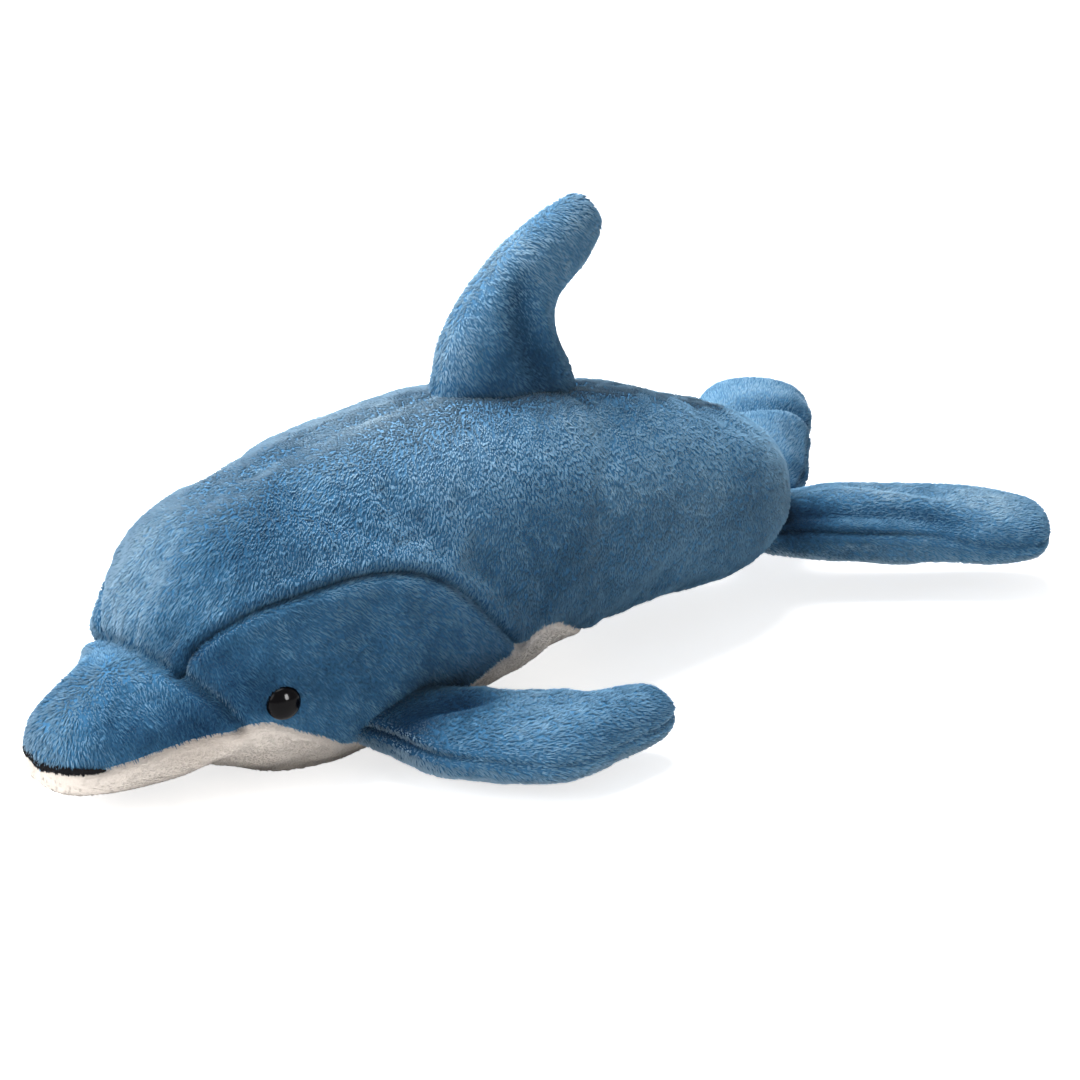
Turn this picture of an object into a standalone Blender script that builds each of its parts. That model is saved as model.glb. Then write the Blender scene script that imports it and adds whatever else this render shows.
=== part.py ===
"""Plush dolphin: fabric panels sewn over a stuffing core, with stuffed fins, flukes and bead eyes.

The snout points to -X, the back to +Z and the dolphin's left side to -Y. Lengths are in metres. The
body is a loft through BODY_STATIONS: a station number t runs from the snout tip to the tail end, and
an angle runs round each section from -90 degrees underneath, by 0 on the left side, to 90 on the back.
Every seam is a line of that loft, so panels that share a seam share its points.
"""

import math
from dataclasses import dataclass
from typing import NamedTuple

import bmesh
import bpy
import numpy as np
from mathutils import Matrix, Vector

MM = 0.001

SEAM_GAP = 0.3 * MM
SKIN_THICKNESS = 3.5 * MM
FIN_SKIN_THICKNESS = 2.4 * MM
SEAM_PINCH = 1.5 * MM
PINCH_WIDTH = 4.0 * MM
STUFFING_CLEARANCE = 1.5 * MM
FIN_SEAT_CLEARANCE = 0.55 * MM
SECTION_POWER = 2.2

EYE_RADIUS = 6.0 * MM
EYE_DOME_HEIGHT = 4.6 * MM
EYE_RIM_HEIGHT = 0.8 * MM
EYE_SINK = 0.9 * MM
EYE_STATION = 7.45
EYE_ANGLE = -1.0
SHANK_RADIUS = 2.0 * MM
SHANK_LENGTH = 8.0 * MM
WASHER_RADIUS = 7.0 * MM
WASHER_THICKNESS = 1.5 * MM
WASHER_DROP = 1.0 * MM

STITCH_WIDTH = 3.2 * MM
STITCH_HEIGHT = 1.4 * MM
STITCH_SINK = 0.62 * MM
STITCH_END_STATION = 2.35
STITCH_TAPER = 0.97

# how many columns, facets and steps each shape is built with
BEAK_COLUMNS = 12
BELLY_COLUMNS = 6
CHEEK_COLUMNS = 5
BACK_COLUMNS = 9
FIN_COLUMNS = 6
STUFFING_COLUMNS = 20
FIN_STUFFING_COLUMNS = 8
SEAT_COLUMNS = 40
TURNED_SIDES = 12
DOME_STEPS = 5
STITCH_STATIONS = 10
STITCH_SIDES = 6

HALF_TURN = 180.0
BACK_ANGLE = 90.0
SHARP_ANGLE = 50.0
# the steps in u and in degrees over which a surface's tangents are measured, and the margin from its poles
U_STEP = 0.01
ANGLE_STEP = 0.5
POLE_MARGIN = 0.02
# the most degrees by which a panel's edge is held back from its seam
MOST_HOLD_BACK = 8.0


class Station(NamedTuple):
    """One section of the body, in millimetres and degrees."""

    x: float
    top: float
    lean: float
    half_width: float
    middle: float
    bottom: float
    belly_seam: float
    cheek_seam: float


# x is where the section meets the back line; lean is how far its sides and underside stand behind x.
BODY_STATIONS = [
    Station(11.2, 13.8, 0.0, 0.0, 13.8, 13.8, -4.0, 60.0),
    Station(12.9, 28.4, 0.0, 12.4, 15.6, 10.6, -4.0, 60.0),
    Station(18.6, 35.8, 0.0, 20.0, 18.2, 7.0, -3.0, 60.0),
    Station(28.0, 41.3, 3.0, 26.2, 21.0, 5.2, 3.0, 60.0),
    Station(39.0, 46.6, 8.0, 32.0, 24.0, 5.0, 4.0, 60.0),
    Station(49.5, 50.5, 14.0, 42.0, 31.0, 7.2, -3.0, 59.0),
    Station(53.0, 62.0, 14.0, 44.5, 35.0, 6.4, -6.7, 53.5),
    Station(60.0, 75.0, 13.0, 47.0, 37.6, 4.4, -11.0, 44.5),
    Station(71.0, 89.5, 11.0, 49.5, 40.0, 0.5, -20.0, 35.5),
    Station(87.0, 96.5, 8.0, 52.0, 43.2, -4.0, -29.6, 31.5),
    Station(106.0, 102.0, 4.0, 53.8, 45.5, -6.0, -40.7, 28.5),
    Station(130.0, 107.0, 1.0, 55.6, 48.2, -4.5, -44.0, 21.7),
    Station(158.0, 110.8, 0.0, 56.3, 51.0, -0.5, -39.0, 1.4),
    Station(189.0, 113.0, 0.0, 55.5, 53.4, 5.5, -33.0, -33.0),
    Station(215.0, 111.0, 0.0, 54.3, 54.3, 10.5, -44.0, -44.0),
    Station(240.0, 107.0, 0.0, 52.5, 54.7, 15.5, -68.0, -68.0),
    Station(260.0, 103.2, 0.0, 50.5, 54.0, 16.0, -90.0, -90.0),
    Station(280.0, 98.6, 0.0, 48.3, 53.2, 15.0, -90.0, -90.0),
    Station(305.0, 90.4, 0.0, 45.0, 50.4, 13.6, -90.0, -90.0),
    Station(325.0, 83.6, 0.0, 38.7, 47.9, 13.4, -90.0, -90.0),
    Station(340.0, 75.8, 0.0, 29.6, 45.2, 15.0, -90.0, -90.0),
    Station(351.0, 66.1, 0.0, 19.7, 42.3, 18.0, -90.0, -90.0),
    Station(358.0, 56.0, 0.0, 11.5, 39.0, 23.0, -90.0, -90.0),
    Station(361.0, 38.0, 0.0, 0.0, 38.0, 38.0, -90.0, -90.0),
]
# how fast the sections open at the snout and close at the tail, in millimetres for one station
WIDTH_SLOPES = (17.0, -17.0)
TOP_SLOPES = (24.0, -24.0)
BOTTOM_SLOPES = (-4.0, 19.0)
BEAK_SEAM = 5
CHEEK_END = 13
BELLY_END = 16
TAIL_END = len(BODY_STATIONS) - 1
# a longer step between two stations, or between two ribs, gets a row halfway
LONG_STEP = 19.5 * MM
LONG_RIB_STEP = 14.0 * MM


class Rib(NamedTuple):
    """One section of a fin, in millimetres: its centre, half chord and half thickness."""

    x: float
    y: float
    z: float
    half_chord: float
    half_thickness: float


DORSAL_RIBS = [
    Rib(216.6, 0.0, 98.4, 35.3, 15.0),
    Rib(216.2, 0.0, 123.0, 30.2, 14.0),
    Rib(226.6, 0.0, 147.2, 17.8, 12.0),
    Rib(248.4, 0.0, 163.0, 13.6, 9.5),
    Rib(258.4, 0.0, 170.0, 9.2, 6.0),
    Rib(260.6, 0.0, 172.0, 0.0, 0.0),
]
PECTORAL_RIBS = [
    Rib(120.0, -22.0, 19.0, 16.0, 8.0),
    Rib(132.0, -47.0, 16.4, 20.5, 12.0),
    Rib(141.5, -69.6, 15.4, 28.0, 13.0),
    Rib(156.5, -86.1, 15.3, 28.5, 12.8),
    Rib(177.0, -96.0, 16.2, 18.5, 11.8),
    Rib(196.0, -99.0, 17.2, 12.5, 9.8),
    Rib(201.8, -99.6, 17.4, 7.5, 6.0),
    Rib(203.8, -99.8, 17.4, 0.0, 0.0),
]
# how fast a fin closes round its tip, as a share of its last full rib
TIP_SLOPE = -3.0
# how far to each side, in ribs, a fin's direction is measured, so that its edges turn smoothly
FRAME_STEP = 0.8
# how many ribs a fluke's mitre takes to fade out
MITRE_REACH = 1.6
FLUKE_ROOT_X = 350.0 * MM
FLUKE_ROOT_Z = 29.2 * MM
FLUKE_SWEEP = 47.7
FLUKE_LENGTH = 122.5 * MM
FLUKE_LEFT_DROP = 4.5 * MM
FLUKE_RIGHT_RISE = 19.0 * MM
# share of the length, half chord and half thickness
FLUKE_RIBS = [
    (0.0, 21.7, 9.5),
    (0.25, 25.3, 13.8),
    (0.5, 25.5, 15.2),
    (0.75, 26.5, 14.2),
    (0.93, 22.5, 11.4),
    (0.985, 14.5, 7.4),
    (1.0, 0.0, 0.0),
]


class Finish(NamedTuple):
    """A plain material: its name, linear colour and roughness."""

    name: str
    colour: tuple
    roughness: float


BLUE_PILE = Finish("blue plush pile", (0.110, 0.205, 0.315, 1.0), 0.9)
WHITE_PILE = Finish("white plush pile", (0.720, 0.680, 0.640, 1.0), 0.9)
STUFFING = Finish("polyester stuffing", (0.850, 0.850, 0.830, 1.0), 0.95)
BLACK_PLASTIC = Finish("black eye plastic", (0.008, 0.007, 0.009, 1.0), 0.12)
BLACK_THREAD = Finish("black thread", (0.020, 0.020, 0.026, 1.0), 0.7)
CLEAR_PLASTIC = Finish("washer plastic", (0.800, 0.800, 0.780, 1.0), 0.4)


class Curve:
    """A smooth curve through values at the whole numbers 0, 1, 2 ... that never overshoots them."""

    def __init__(self, values, start=None, end=None):
        self.values = np.array(values, float)
        steps = np.diff(self.values)
        self.slopes = np.zeros(len(self.values))
        product = steps[:-1] * steps[1:]
        total = np.where(product > 0, steps[:-1] + steps[1:], 1.0)
        self.slopes[1:-1] = np.where(product > 0, 2 * product / total, 0.0)
        self.slopes[0] = steps[0] if start is None else start
        self.slopes[-1] = steps[-1] if end is None else end

    def __call__(self, t):
        i = np.clip(np.floor(t).astype(int), 0, len(self.values) - 2)
        u = t - i
        a, b = self.values[i], self.values[i + 1]
        p, q = self.slopes[i], self.slopes[i + 1]
        return (
            a * (1 + 2 * u) * (1 - u) ** 2
            + b * u * u * (3 - 2 * u)
            + p * u * (1 - u) ** 2
            - q * u * u * (1 - u)
        )


def power(value):
    """The superellipse's form of a sine or cosine."""
    return np.sign(value) * np.abs(value) ** (2 / SECTION_POWER)


def across(angle):
    """The angle on the right side that faces an angle on the left one."""
    return HALF_TURN - angle


class Surface:
    """A surface with two parameters: u along it and an angle in degrees round it."""

    last = 1.0

    def point(self, u, angle):
        raise NotImplementedError

    def slopes(self, u, angle):
        """The surface's tangents along u and round it, by differences."""
        ahead, behind = np.minimum(u + U_STEP, self.last), np.maximum(u - U_STEP, 0.0)
        along = (self.point(ahead, angle) - self.point(behind, angle)) / (ahead - behind)[..., None]
        round_it = (self.point(u, angle + ANGLE_STEP) - self.point(u, angle - ANGLE_STEP)) / (2 * ANGLE_STEP)
        return along, round_it

    def inside(self, u):
        """The same u, kept a little away from both ends."""
        return np.clip(u, POLE_MARGIN, self.last - POLE_MARGIN)

    def offset(self, u, angle, distance):
        """Points that stand off the surface by a distance, outwards where it is positive."""
        along, round_it = self.slopes(self.inside(u), angle)
        normal = np.cross(along, round_it)
        length = np.linalg.norm(normal, axis=-1, keepdims=True)
        normal = normal / np.maximum(length, 1e-12)
        at_pole = self.pole_normals(u)
        normal = np.where(at_pole[0][..., None], at_pole[1], normal)
        return self.point(u, angle) + normal * np.asarray(distance)[..., None]

    def pole_normals(self, u):
        """Which points lie on a pole, and the outward direction there."""
        raise NotImplementedError


class Body(Surface):
    """The loft through the body's stations."""

    def __init__(self):
        column = {name: [getattr(s, name) for s in BODY_STATIONS] for name in Station._fields}
        self.last = float(TAIL_END)
        self.x = Curve(column["x"], 0.0, 0.0)
        self.lean = Curve(column["lean"])
        self.half_width = Curve(column["half_width"], *WIDTH_SLOPES)
        self.middle = Curve(column["middle"])
        self.top = Curve(column["top"], *TOP_SLOPES)
        self.bottom = Curve(column["bottom"], *BOTTOM_SLOPES)
        self.belly_seam = Curve(column["belly_seam"])
        self.cheek_seam = Curve(column["cheek_seam"])

    def point(self, u, angle):
        sine, cosine = np.sin(np.radians(angle)), np.cos(np.radians(angle))
        middle = self.middle(u)
        rise = np.where(sine > 0, self.top(u) - middle, middle - self.bottom(u))
        x = self.x(u) + self.lean(u) * (1 - np.maximum(sine, 0.0))
        y = -self.half_width(u) * power(cosine)
        z = np.maximum(middle + rise * power(sine), 0.0)
        return np.stack([x, y, z], -1) * MM

    def pole_normals(self, u):
        direction = np.zeros(np.shape(u) + (3,))
        direction[..., 0] = np.where(u > self.last / 2, 1.0, -1.0)
        return (u <= 0.0) | (u >= self.last), direction

    def back_edge(self, t):
        """The lower edge of a back panel: the cheek seam, then the belly seam, then underneath."""
        return np.where(t < CHEEK_END, self.cheek_seam(t), self.belly_seam(t))


class Fin(Surface):
    """A stuffed fin through ribs; its chord runs along X at the root where it is mitred."""

    def __init__(self, ribs, up, mitred=False):
        self.last = float(len(ribs) - 1)
        self.up = np.array(up, float)
        self.mitred = mitred
        self.path = [Curve([getattr(r, axis) for r in ribs]) for axis in ("x", "y", "z")]
        self.chord = Curve([r.half_chord for r in ribs], end=TIP_SLOPE * ribs[-2].half_chord)
        self.thick = Curve([r.half_thickness for r in ribs], end=TIP_SLOPE * ribs[-2].half_thickness)

    def centre(self, u):
        return np.stack([axis(u) for axis in self.path], -1)

    def rows(self):
        """A row at each rib, with a row halfway along each long step."""
        rows = []
        for u in range(int(self.last)):
            rows.append(float(u))
            step = self.centre(np.array(u + 1.0)) - self.centre(np.array(float(u)))
            if np.linalg.norm(step) * MM > LONG_RIB_STEP:
                rows.append(u + 0.5)
        return np.array(rows + [self.last])

    def frame(self, u):
        """The path's direction, the chord's direction and the thickness's direction."""
        ahead, behind = np.minimum(u + FRAME_STEP, self.last), np.maximum(u - FRAME_STEP, 0.0)
        along = self.centre(ahead) - self.centre(behind)
        along = along / np.linalg.norm(along, axis=-1, keepdims=True)
        side = np.cross(along, self.up)
        side = side / np.linalg.norm(side, axis=-1, keepdims=True)
        return along, side, np.cross(side, along)

    def point(self, u, angle):
        along, side, up = self.frame(u)
        sine, cosine = power(np.sin(np.radians(angle))), power(np.cos(np.radians(angle)))
        chord, thick = self.chord(u), self.thick(u)
        place = self.centre(u) + up * (thick * sine)[..., None]
        if self.mitred:
            bend = np.clip(1 - u / MITRE_REACH, 0.0, 1.0)
            bend = bend * bend * (3 - 2 * bend)
            shear = -side[..., 1] / along[..., 1]
            side = side + along * (shear * bend)[..., None]
        return (place + side * (chord * cosine)[..., None]) * MM

    def pole_normals(self, u):
        along = self.frame(u)[0]
        return u >= self.last, along


def fluke(side):
    """The fluke on one side: side is -1 for the left one and 1 for the right one."""
    sweep = math.radians(FLUKE_SWEEP)
    lift = FLUKE_RIGHT_RISE if side > 0 else -FLUKE_LEFT_DROP
    reach = np.array([math.sin(sweep), side * math.cos(sweep), 0.0]) * FLUKE_LENGTH
    root = np.array([FLUKE_ROOT_X, side * SEAM_GAP / 2, FLUKE_ROOT_Z])
    ribs = []
    for share, half_chord, half_thickness in FLUKE_RIBS:
        place = (root + reach * share + np.array([0.0, 0.0, lift * share])) / MM
        ribs.append(Rib(*place, half_chord, half_thickness))
    return Fin(ribs, (0.0, 0.0, 1.0), mitred=True)


def mirrored(ribs):
    """The same ribs on the right side."""
    return [rib._replace(y=-rib.y) for rib in ribs]


@dataclass
class Patch:
    """A grid of surface parameters: the rows run along the surface and the columns round it."""

    surface: Surface
    u: np.ndarray
    angle: np.ndarray
    edge: np.ndarray
    pole_shift: tuple = (0.0, 0.0, 0.0)

    def points(self, distance):
        """The grid's points at a distance off the surface, which may differ from point to point."""
        distance = np.broadcast_to(distance, self.u.shape)
        place = self.surface.offset(self.u, self.angle, distance)
        return place + self.surface.pole_normals(self.u)[0][..., None] * np.array(self.pole_shift)


def make_patch(surface, rows, low, high, columns, pinched=True, cross=None, pole_shift=(0.0, 0.0, 0.0)):
    """A patch between two seams, held back from each by half the seam gap.

    low and high give the seams' angles for each row. cross names the row, 0 or -1, that lies on a
    seam running round the surface.
    """
    low, high = np.array(low, float), np.array(high, float)
    hold_back = []
    for seam in (low, high):
        speed = np.linalg.norm(surface.slopes(surface.inside(rows), seam)[1], axis=-1)
        hold_back.append(np.minimum(SEAM_GAP / 2 / np.maximum(speed, 1e-9), MOST_HOLD_BACK))
    low, high = low + hold_back[0], high - hold_back[1]
    middle = (low + high) / 2
    low, high = np.minimum(low, middle), np.maximum(high, middle)
    share = np.linspace(0.0, 1.0, columns + 1)[None, :] * np.ones((len(rows), 1))
    if pinched:
        fine = np.linspace(0.0, 1.0, 9)[None, :]
        line = surface.point(rows[:, None] * np.ones_like(fine), low[:, None] + (high - low)[:, None] * fine)
        arc = np.linalg.norm(np.diff(line, axis=1), axis=-1).sum(axis=1)
        near = np.minimum(PINCH_WIDTH / np.maximum(arc, 1e-9), 1 / (columns + 2))[:, None]
        share = np.hstack([np.zeros_like(near), near + (1 - 2 * near) * share, np.ones_like(near)])
    angle = low[:, None] + (high - low)[:, None] * share
    u = rows[:, None] * np.ones_like(angle)
    edge = np.zeros_like(angle)
    edge[:, 0] = edge[:, -1] = 1.0
    if cross is not None:
        speed = np.linalg.norm(surface.slopes(u[cross], angle[cross])[0], axis=-1)
        u[cross] += (SEAM_GAP / 2 / speed) * (1.0 if cross == 0 else -1.0)
        edge[cross] = 1.0
    edge[surface.pole_normals(u)[0]] = 1.0
    return Patch(surface, u, angle, edge, pole_shift)


def grid_faces(first, rows, columns, reverse=False):
    """The quads of a grid whose vertices are numbered row by row from first."""
    faces = []
    for i in range(rows - 1):
        for j in range(columns - 1):
            a = first + i * columns + j
            quad = (a, a + columns, a + columns + 1, a + 1)
            faces.append(quad[::-1] if reverse else quad)
    return faces


def strip_faces(one, two):
    """The quads between two rows of vertex numbers."""
    return [(one[k], one[k + 1], two[k + 1], two[k]) for k in range(len(one) - 1)]


def add_solid(name, points, faces, material, smooth=True):
    """A closed mesh object, with coincident points joined and its faces pointing out."""
    mesh = bpy.data.meshes.new(name)
    mesh.from_pydata([tuple(p) for p in np.reshape(points, (-1, 3))], [], faces)
    work = bmesh.new()
    work.from_mesh(mesh)
    bmesh.ops.remove_doubles(work, verts=work.verts, dist=0.01 * MM)
    bmesh.ops.dissolve_degenerate(work, edges=work.edges, dist=0.001 * MM)
    bmesh.ops.recalc_face_normals(work, faces=work.faces)
    work.to_mesh(mesh)
    work.free()
    if smooth:
        mesh.shade_smooth()
        mesh.set_sharp_from_angle(angle=math.radians(SHARP_ANGLE))
    item = bpy.data.objects.new(name, mesh)
    bpy.context.scene.collection.objects.link(item)
    if material is not None:
        mesh.materials.append(material)
    return item


def add_shell(name, patch, thickness, pinch, material):
    """A fabric panel: the patch's outer face, its inner face and the cut edges between them."""
    outer = patch.points(-pinch * patch.edge)
    inner = patch.points(-thickness)
    rows, columns = patch.u.shape
    count = rows * columns
    number = np.arange(2 * count).reshape(2, rows, columns)
    faces = grid_faces(0, rows, columns) + grid_faces(count, rows, columns, reverse=True)
    for row in (0, -1):
        faces += strip_faces(number[0, row], number[1, row])
    for column in (0, -1):
        faces += strip_faces(number[0, :, column], number[1, :, column])
    return add_solid(name, np.concatenate([outer, inner]), faces, material)


def add_loft(name, surface, rows, columns, distance, material, root_cap=False):
    """A closed solid at a distance off a surface."""
    angle = np.linspace(0.0, 360.0, columns, endpoint=False)[None, :] * np.ones((len(rows), 1))
    u = rows[:, None] * np.ones_like(angle)
    points = surface.offset(u, angle, np.full(u.shape, distance))
    faces = []
    for i in range(len(rows) - 1):
        for j in range(columns):
            k = (j + 1) % columns
            faces.append((i * columns + j, (i + 1) * columns + j, (i + 1) * columns + k, i * columns + k))
    if root_cap:
        faces.append(tuple(range(columns)))
    return add_solid(name, points, faces, material)


def body_rows(first, last):
    """The body's rows between two stations, with a row halfway along each long step and each end."""
    rows = []
    for t in range(first, last):
        rows.append(float(t))
        long_step = (BODY_STATIONS[t + 1].x - BODY_STATIONS[t].x) * MM > LONG_STEP
        if long_step or t in (0, TAIL_END - 1):
            rows.append(t + 0.5)
    return np.array(rows + [float(last)])


def make_material(finish):
    """A plain material of the piece's own colour."""
    material = bpy.data.materials.new(finish.name)
    material.use_nodes = True
    shader = material.node_tree.nodes["Principled BSDF"]
    shader.inputs["Base Color"].default_value = finish.colour
    shader.inputs["Roughness"].default_value = finish.roughness
    shader.inputs["Metallic"].default_value = 0.0
    material.diffuse_color = finish.colour
    return material


def cut(item, cutter):
    """Takes the cutter's shape out of an object."""
    boolean = item.modifiers.new("cut by " + cutter.name, "BOOLEAN")
    boolean.operation = "DIFFERENCE"
    boolean.solver = "EXACT"
    boolean.object = cutter


def as_cutter(item):
    """Marks an object as a cutter, which is no part of the toy."""
    item.hide_render = True
    item.display_type = "WIRE"
    return item


def add_turned(name, profile, place, axis, material):
    """A solid turned round an axis through a place; the profile is (radius, height) from top to bottom."""
    sides = TURNED_SIDES
    turn = Vector((0.0, 0.0, 1.0)).rotation_difference(Vector(axis)).to_matrix()
    points, faces = [], []
    for radius, height in profile:
        for k in range(sides):
            bearing = 2 * math.pi * k / sides
            local = Vector((radius * math.cos(bearing), radius * math.sin(bearing), height))
            points.append(tuple(turn @ local + Vector(place)))
    for i in range(len(profile) - 1):
        for k in range(sides):
            n = (k + 1) % sides
            faces.append((i * sides + k, (i + 1) * sides + k, (i + 1) * sides + n, i * sides + n))
    if profile[0] == profile[-1]:
        return add_solid(name, points, faces, material)
    faces.append(tuple(range(sides)))
    faces.append(tuple((len(profile) - 1) * sides + k for k in reversed(range(sides))))
    return add_solid(name, points, faces, material)


def dome_profile(radius, height, rim, grow=0.0):
    """A bead's outline from the crown to the bottom of its rim, grown outwards by a clearance."""
    outline = []
    for step in range(DOME_STEPS):
        turn = math.pi / 2 * (step + 1) / DOME_STEPS
        outline.append((radius * math.sin(turn) + grow, rim + (height - rim) * math.cos(turn) + grow))
    return outline + [(radius + grow, -grow)]


def build_body(body, blue, white, fill):
    """The body's six fabric panels and the stuffing inside them. Returns the panels by name."""
    panels = {}
    beak = body_rows(0, BEAK_SEAM)
    belly = body_rows(0, BELLY_END)
    cheek = body_rows(BEAK_SEAM, CHEEK_END)
    back = body_rows(BEAK_SEAM, TAIL_END)
    half = SEAM_GAP / 2
    under, over = body.belly_seam, body.cheek_seam
    ridge, edge = BACK_ANGLE + 0 * back, body.back_edge(back)
    patches = {
        "beak_panel": (
            make_patch(
                body, beak, under(beak), across(under(beak)), BEAK_COLUMNS, cross=-1, pole_shift=(0, 0, half)
            ),
            blue,
        ),
        "belly_panel": (
            make_patch(
                body,
                belly,
                across(under(belly)) - 2 * HALF_TURN,
                under(belly),
                BELLY_COLUMNS,
                pole_shift=(0, 0, -half),
            ),
            white,
        ),
        "cheek_panel_left": (
            make_patch(body, cheek, under(cheek), over(cheek), CHEEK_COLUMNS, cross=0),
            blue,
        ),
        "cheek_panel_right": (
            make_patch(body, cheek, across(over(cheek)), across(under(cheek)), CHEEK_COLUMNS, cross=0),
            blue,
        ),
        "back_panel_left": (
            make_patch(body, back, edge, ridge, BACK_COLUMNS, cross=0, pole_shift=(0, -half, 0)),
            blue,
        ),
        "back_panel_right": (
            make_patch(body, back, ridge, across(edge), BACK_COLUMNS, cross=0, pole_shift=(0, half, 0)),
            blue,
        ),
    }
    for name, (patch, material) in patches.items():
        panels[name] = add_shell(name, patch, SKIN_THICKNESS, SEAM_PINCH, material)
    inside = -(SKIN_THICKNESS + STUFFING_CLEARANCE)
    panels["body_stuffing"] = add_loft(
        "body_stuffing", body, body_rows(0, TAIL_END), STUFFING_COLUMNS, inside, fill
    )
    return panels


def build_fin(name, fin, sides, blue, fill, cutter):
    """One fin: two fabric panels, named by sides, round its stuffing, seated on the body."""
    rows = fin.rows()
    for k, side in enumerate(sides):
        low = HALF_TURN * k + 0 * rows
        lift = fin.frame(np.array([fin.last]))[2][0] * (SEAM_GAP / 2) * (1 - 2 * k)
        patch = make_patch(
            fin, rows, low, low + HALF_TURN, FIN_COLUMNS, pinched=False, pole_shift=tuple(lift)
        )
        cut(add_shell(f"{name}_{side}_panel", patch, FIN_SKIN_THICKNESS, 0.0, blue), cutter)
    inside = -(FIN_SKIN_THICKNESS + STUFFING_CLEARANCE)
    stuffing = add_loft(f"{name}_stuffing", fin, rows, FIN_STUFFING_COLUMNS, inside, fill, root_cap=True)
    cut(stuffing, cutter)


def build_eyes(body, panels, bead, clear):
    """Each eye is a bead on a shank through the cheek, held by a washer against the inside."""
    gap = SEAM_GAP
    drop = SKIN_THICKNESS + WASHER_DROP
    for name, angle in (("left", EYE_ANGLE), ("right", across(EYE_ANGLE))):
        t, a = np.array([EYE_STATION]), np.array([angle])
        seat = body.point(t, a)[0]
        along, round_it = (v[0] for v in body.slopes(t, a))
        axis = np.cross(along, round_it)
        axis = axis / np.linalg.norm(axis)
        place = seat - axis * EYE_SINK
        dome = dome_profile(EYE_RADIUS, EYE_DOME_HEIGHT, EYE_RIM_HEIGHT)
        shank = [(SHANK_RADIUS, 0.0), (SHANK_RADIUS, -SHANK_LENGTH)]
        add_turned(f"eye_{name}", dome + shank, place, axis, bead)
        room = dome_profile(EYE_RADIUS, EYE_DOME_HEIGHT, EYE_RIM_HEIGHT, gap)
        hole = [(SHANK_RADIUS + gap, -gap), (SHANK_RADIUS + gap, -SHANK_LENGTH - gap)]
        cutter = as_cutter(add_turned(f"eye_{name}_room", room + hole, place, axis, None))
        cut(panels[f"cheek_panel_{name}"], cutter)
        inner, outer = SHANK_RADIUS + gap, WASHER_RADIUS
        top, bottom = -drop, -drop - WASHER_THICKNESS
        ring = [(outer, top), (outer, bottom), (inner, bottom), (inner, top), (outer, top)]
        add_turned(f"eye_washer_{name}", ring, seat, axis, clear)
        deep = -(EYE_SINK + SHANK_LENGTH + gap)
        room = [(outer + gap, gap), (outer + gap, min(deep, bottom - gap))]
        cutter = as_cutter(add_turned(f"eye_washer_{name}_room", room, seat, axis, None))
        cut(panels["body_stuffing"], cutter)


def build_mouth(body, thread):
    """The stitched mouth: a flat cord of thread lying on the seam below the beak, round the snout."""
    reach = np.linspace(STITCH_END_STATION, 0.0, STITCH_STATIONS)
    left = [(t, float(body.belly_seam(t))) for t in reach]
    right = [(t, across(a)) for t, a in reversed(left[:-1])]
    t = np.array([p[0] for p in left + right])
    a = np.array([p[1] for p in left + right])
    seam = body.point(t, a)
    normal = body.offset(t, a, np.ones(t.shape)) - seam
    line = seam + normal * (SEAM_GAP + STITCH_HEIGHT / 2 - STITCH_SINK)
    along = np.gradient(line, axis=0)
    broad = np.cross(normal, along)
    broad /= np.linalg.norm(broad, axis=-1, keepdims=True)
    place = np.linspace(-1.0, 1.0, len(t))
    width = STITCH_WIDTH / 2 * (1 - (STITCH_TAPER * place) ** 2) ** 0.25
    sides = STITCH_SIDES
    points = []
    for k in range(sides):
        turn = 2 * math.pi * k / sides
        points.append(
            line
            + broad * (width * math.cos(turn))[:, None]
            + normal * (STITCH_HEIGHT / 2 * math.sin(turn))
        )
    points = np.stack(points, 1)
    faces = []
    for i in range(len(t) - 1):
        for k in range(sides):
            n = (k + 1) % sides
            faces.append((i * sides + k, (i + 1) * sides + k, (i + 1) * sides + n, i * sides + n))
    faces.append(tuple(range(sides)))
    faces.append(tuple((len(t) - 1) * sides + k for k in range(sides)))
    add_solid("mouth_stitching", points, faces, thread)


def centre_on_ground():
    """Moves everything so that the origin is under the middle of the toy."""
    corners = [v.co for o in bpy.data.objects if not o.hide_render for v in o.data.vertices]
    low = np.min(corners, axis=0)
    high = np.max(corners, axis=0)
    shift = Matrix.Translation((-(low[0] + high[0]) / 2, -(low[1] + high[1]) / 2, -low[2]))
    for item in bpy.data.objects:
        item.data.transform(shift)


def main():
    """Builds the dolphin."""
    for item in list(bpy.data.objects):
        bpy.data.objects.remove(item)
    blue, white, fill, bead, thread, clear = (
        make_material(finish)
        for finish in (BLUE_PILE, WHITE_PILE, STUFFING, BLACK_PLASTIC, BLACK_THREAD, CLEAR_PLASTIC)
    )

    body = Body()
    panels = build_body(body, blue, white, fill)
    seat = as_cutter(
        add_loft("fin_seat", body, body_rows(0, TAIL_END), SEAT_COLUMNS, FIN_SEAT_CLEARANCE, None)
    )
    build_fin("dorsal_fin", Fin(DORSAL_RIBS, (0.0, 1.0, 0.0)), ("right", "left"), blue, fill, seat)
    for name, ribs in (("left", PECTORAL_RIBS), ("right", mirrored(PECTORAL_RIBS))):
        fin = Fin(ribs, (0.0, 0.0, 1.0))
        build_fin(f"pectoral_fin_{name}", fin, ("upper", "lower"), blue, fill, seat)
    for name, side in (("left", -1), ("right", 1)):
        build_fin(f"fluke_{name}", fluke(side), ("upper", "lower"), blue, fill, seat)
    build_eyes(body, panels, bead, clear)
    build_mouth(body, thread)
    centre_on_ground()


main()
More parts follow.
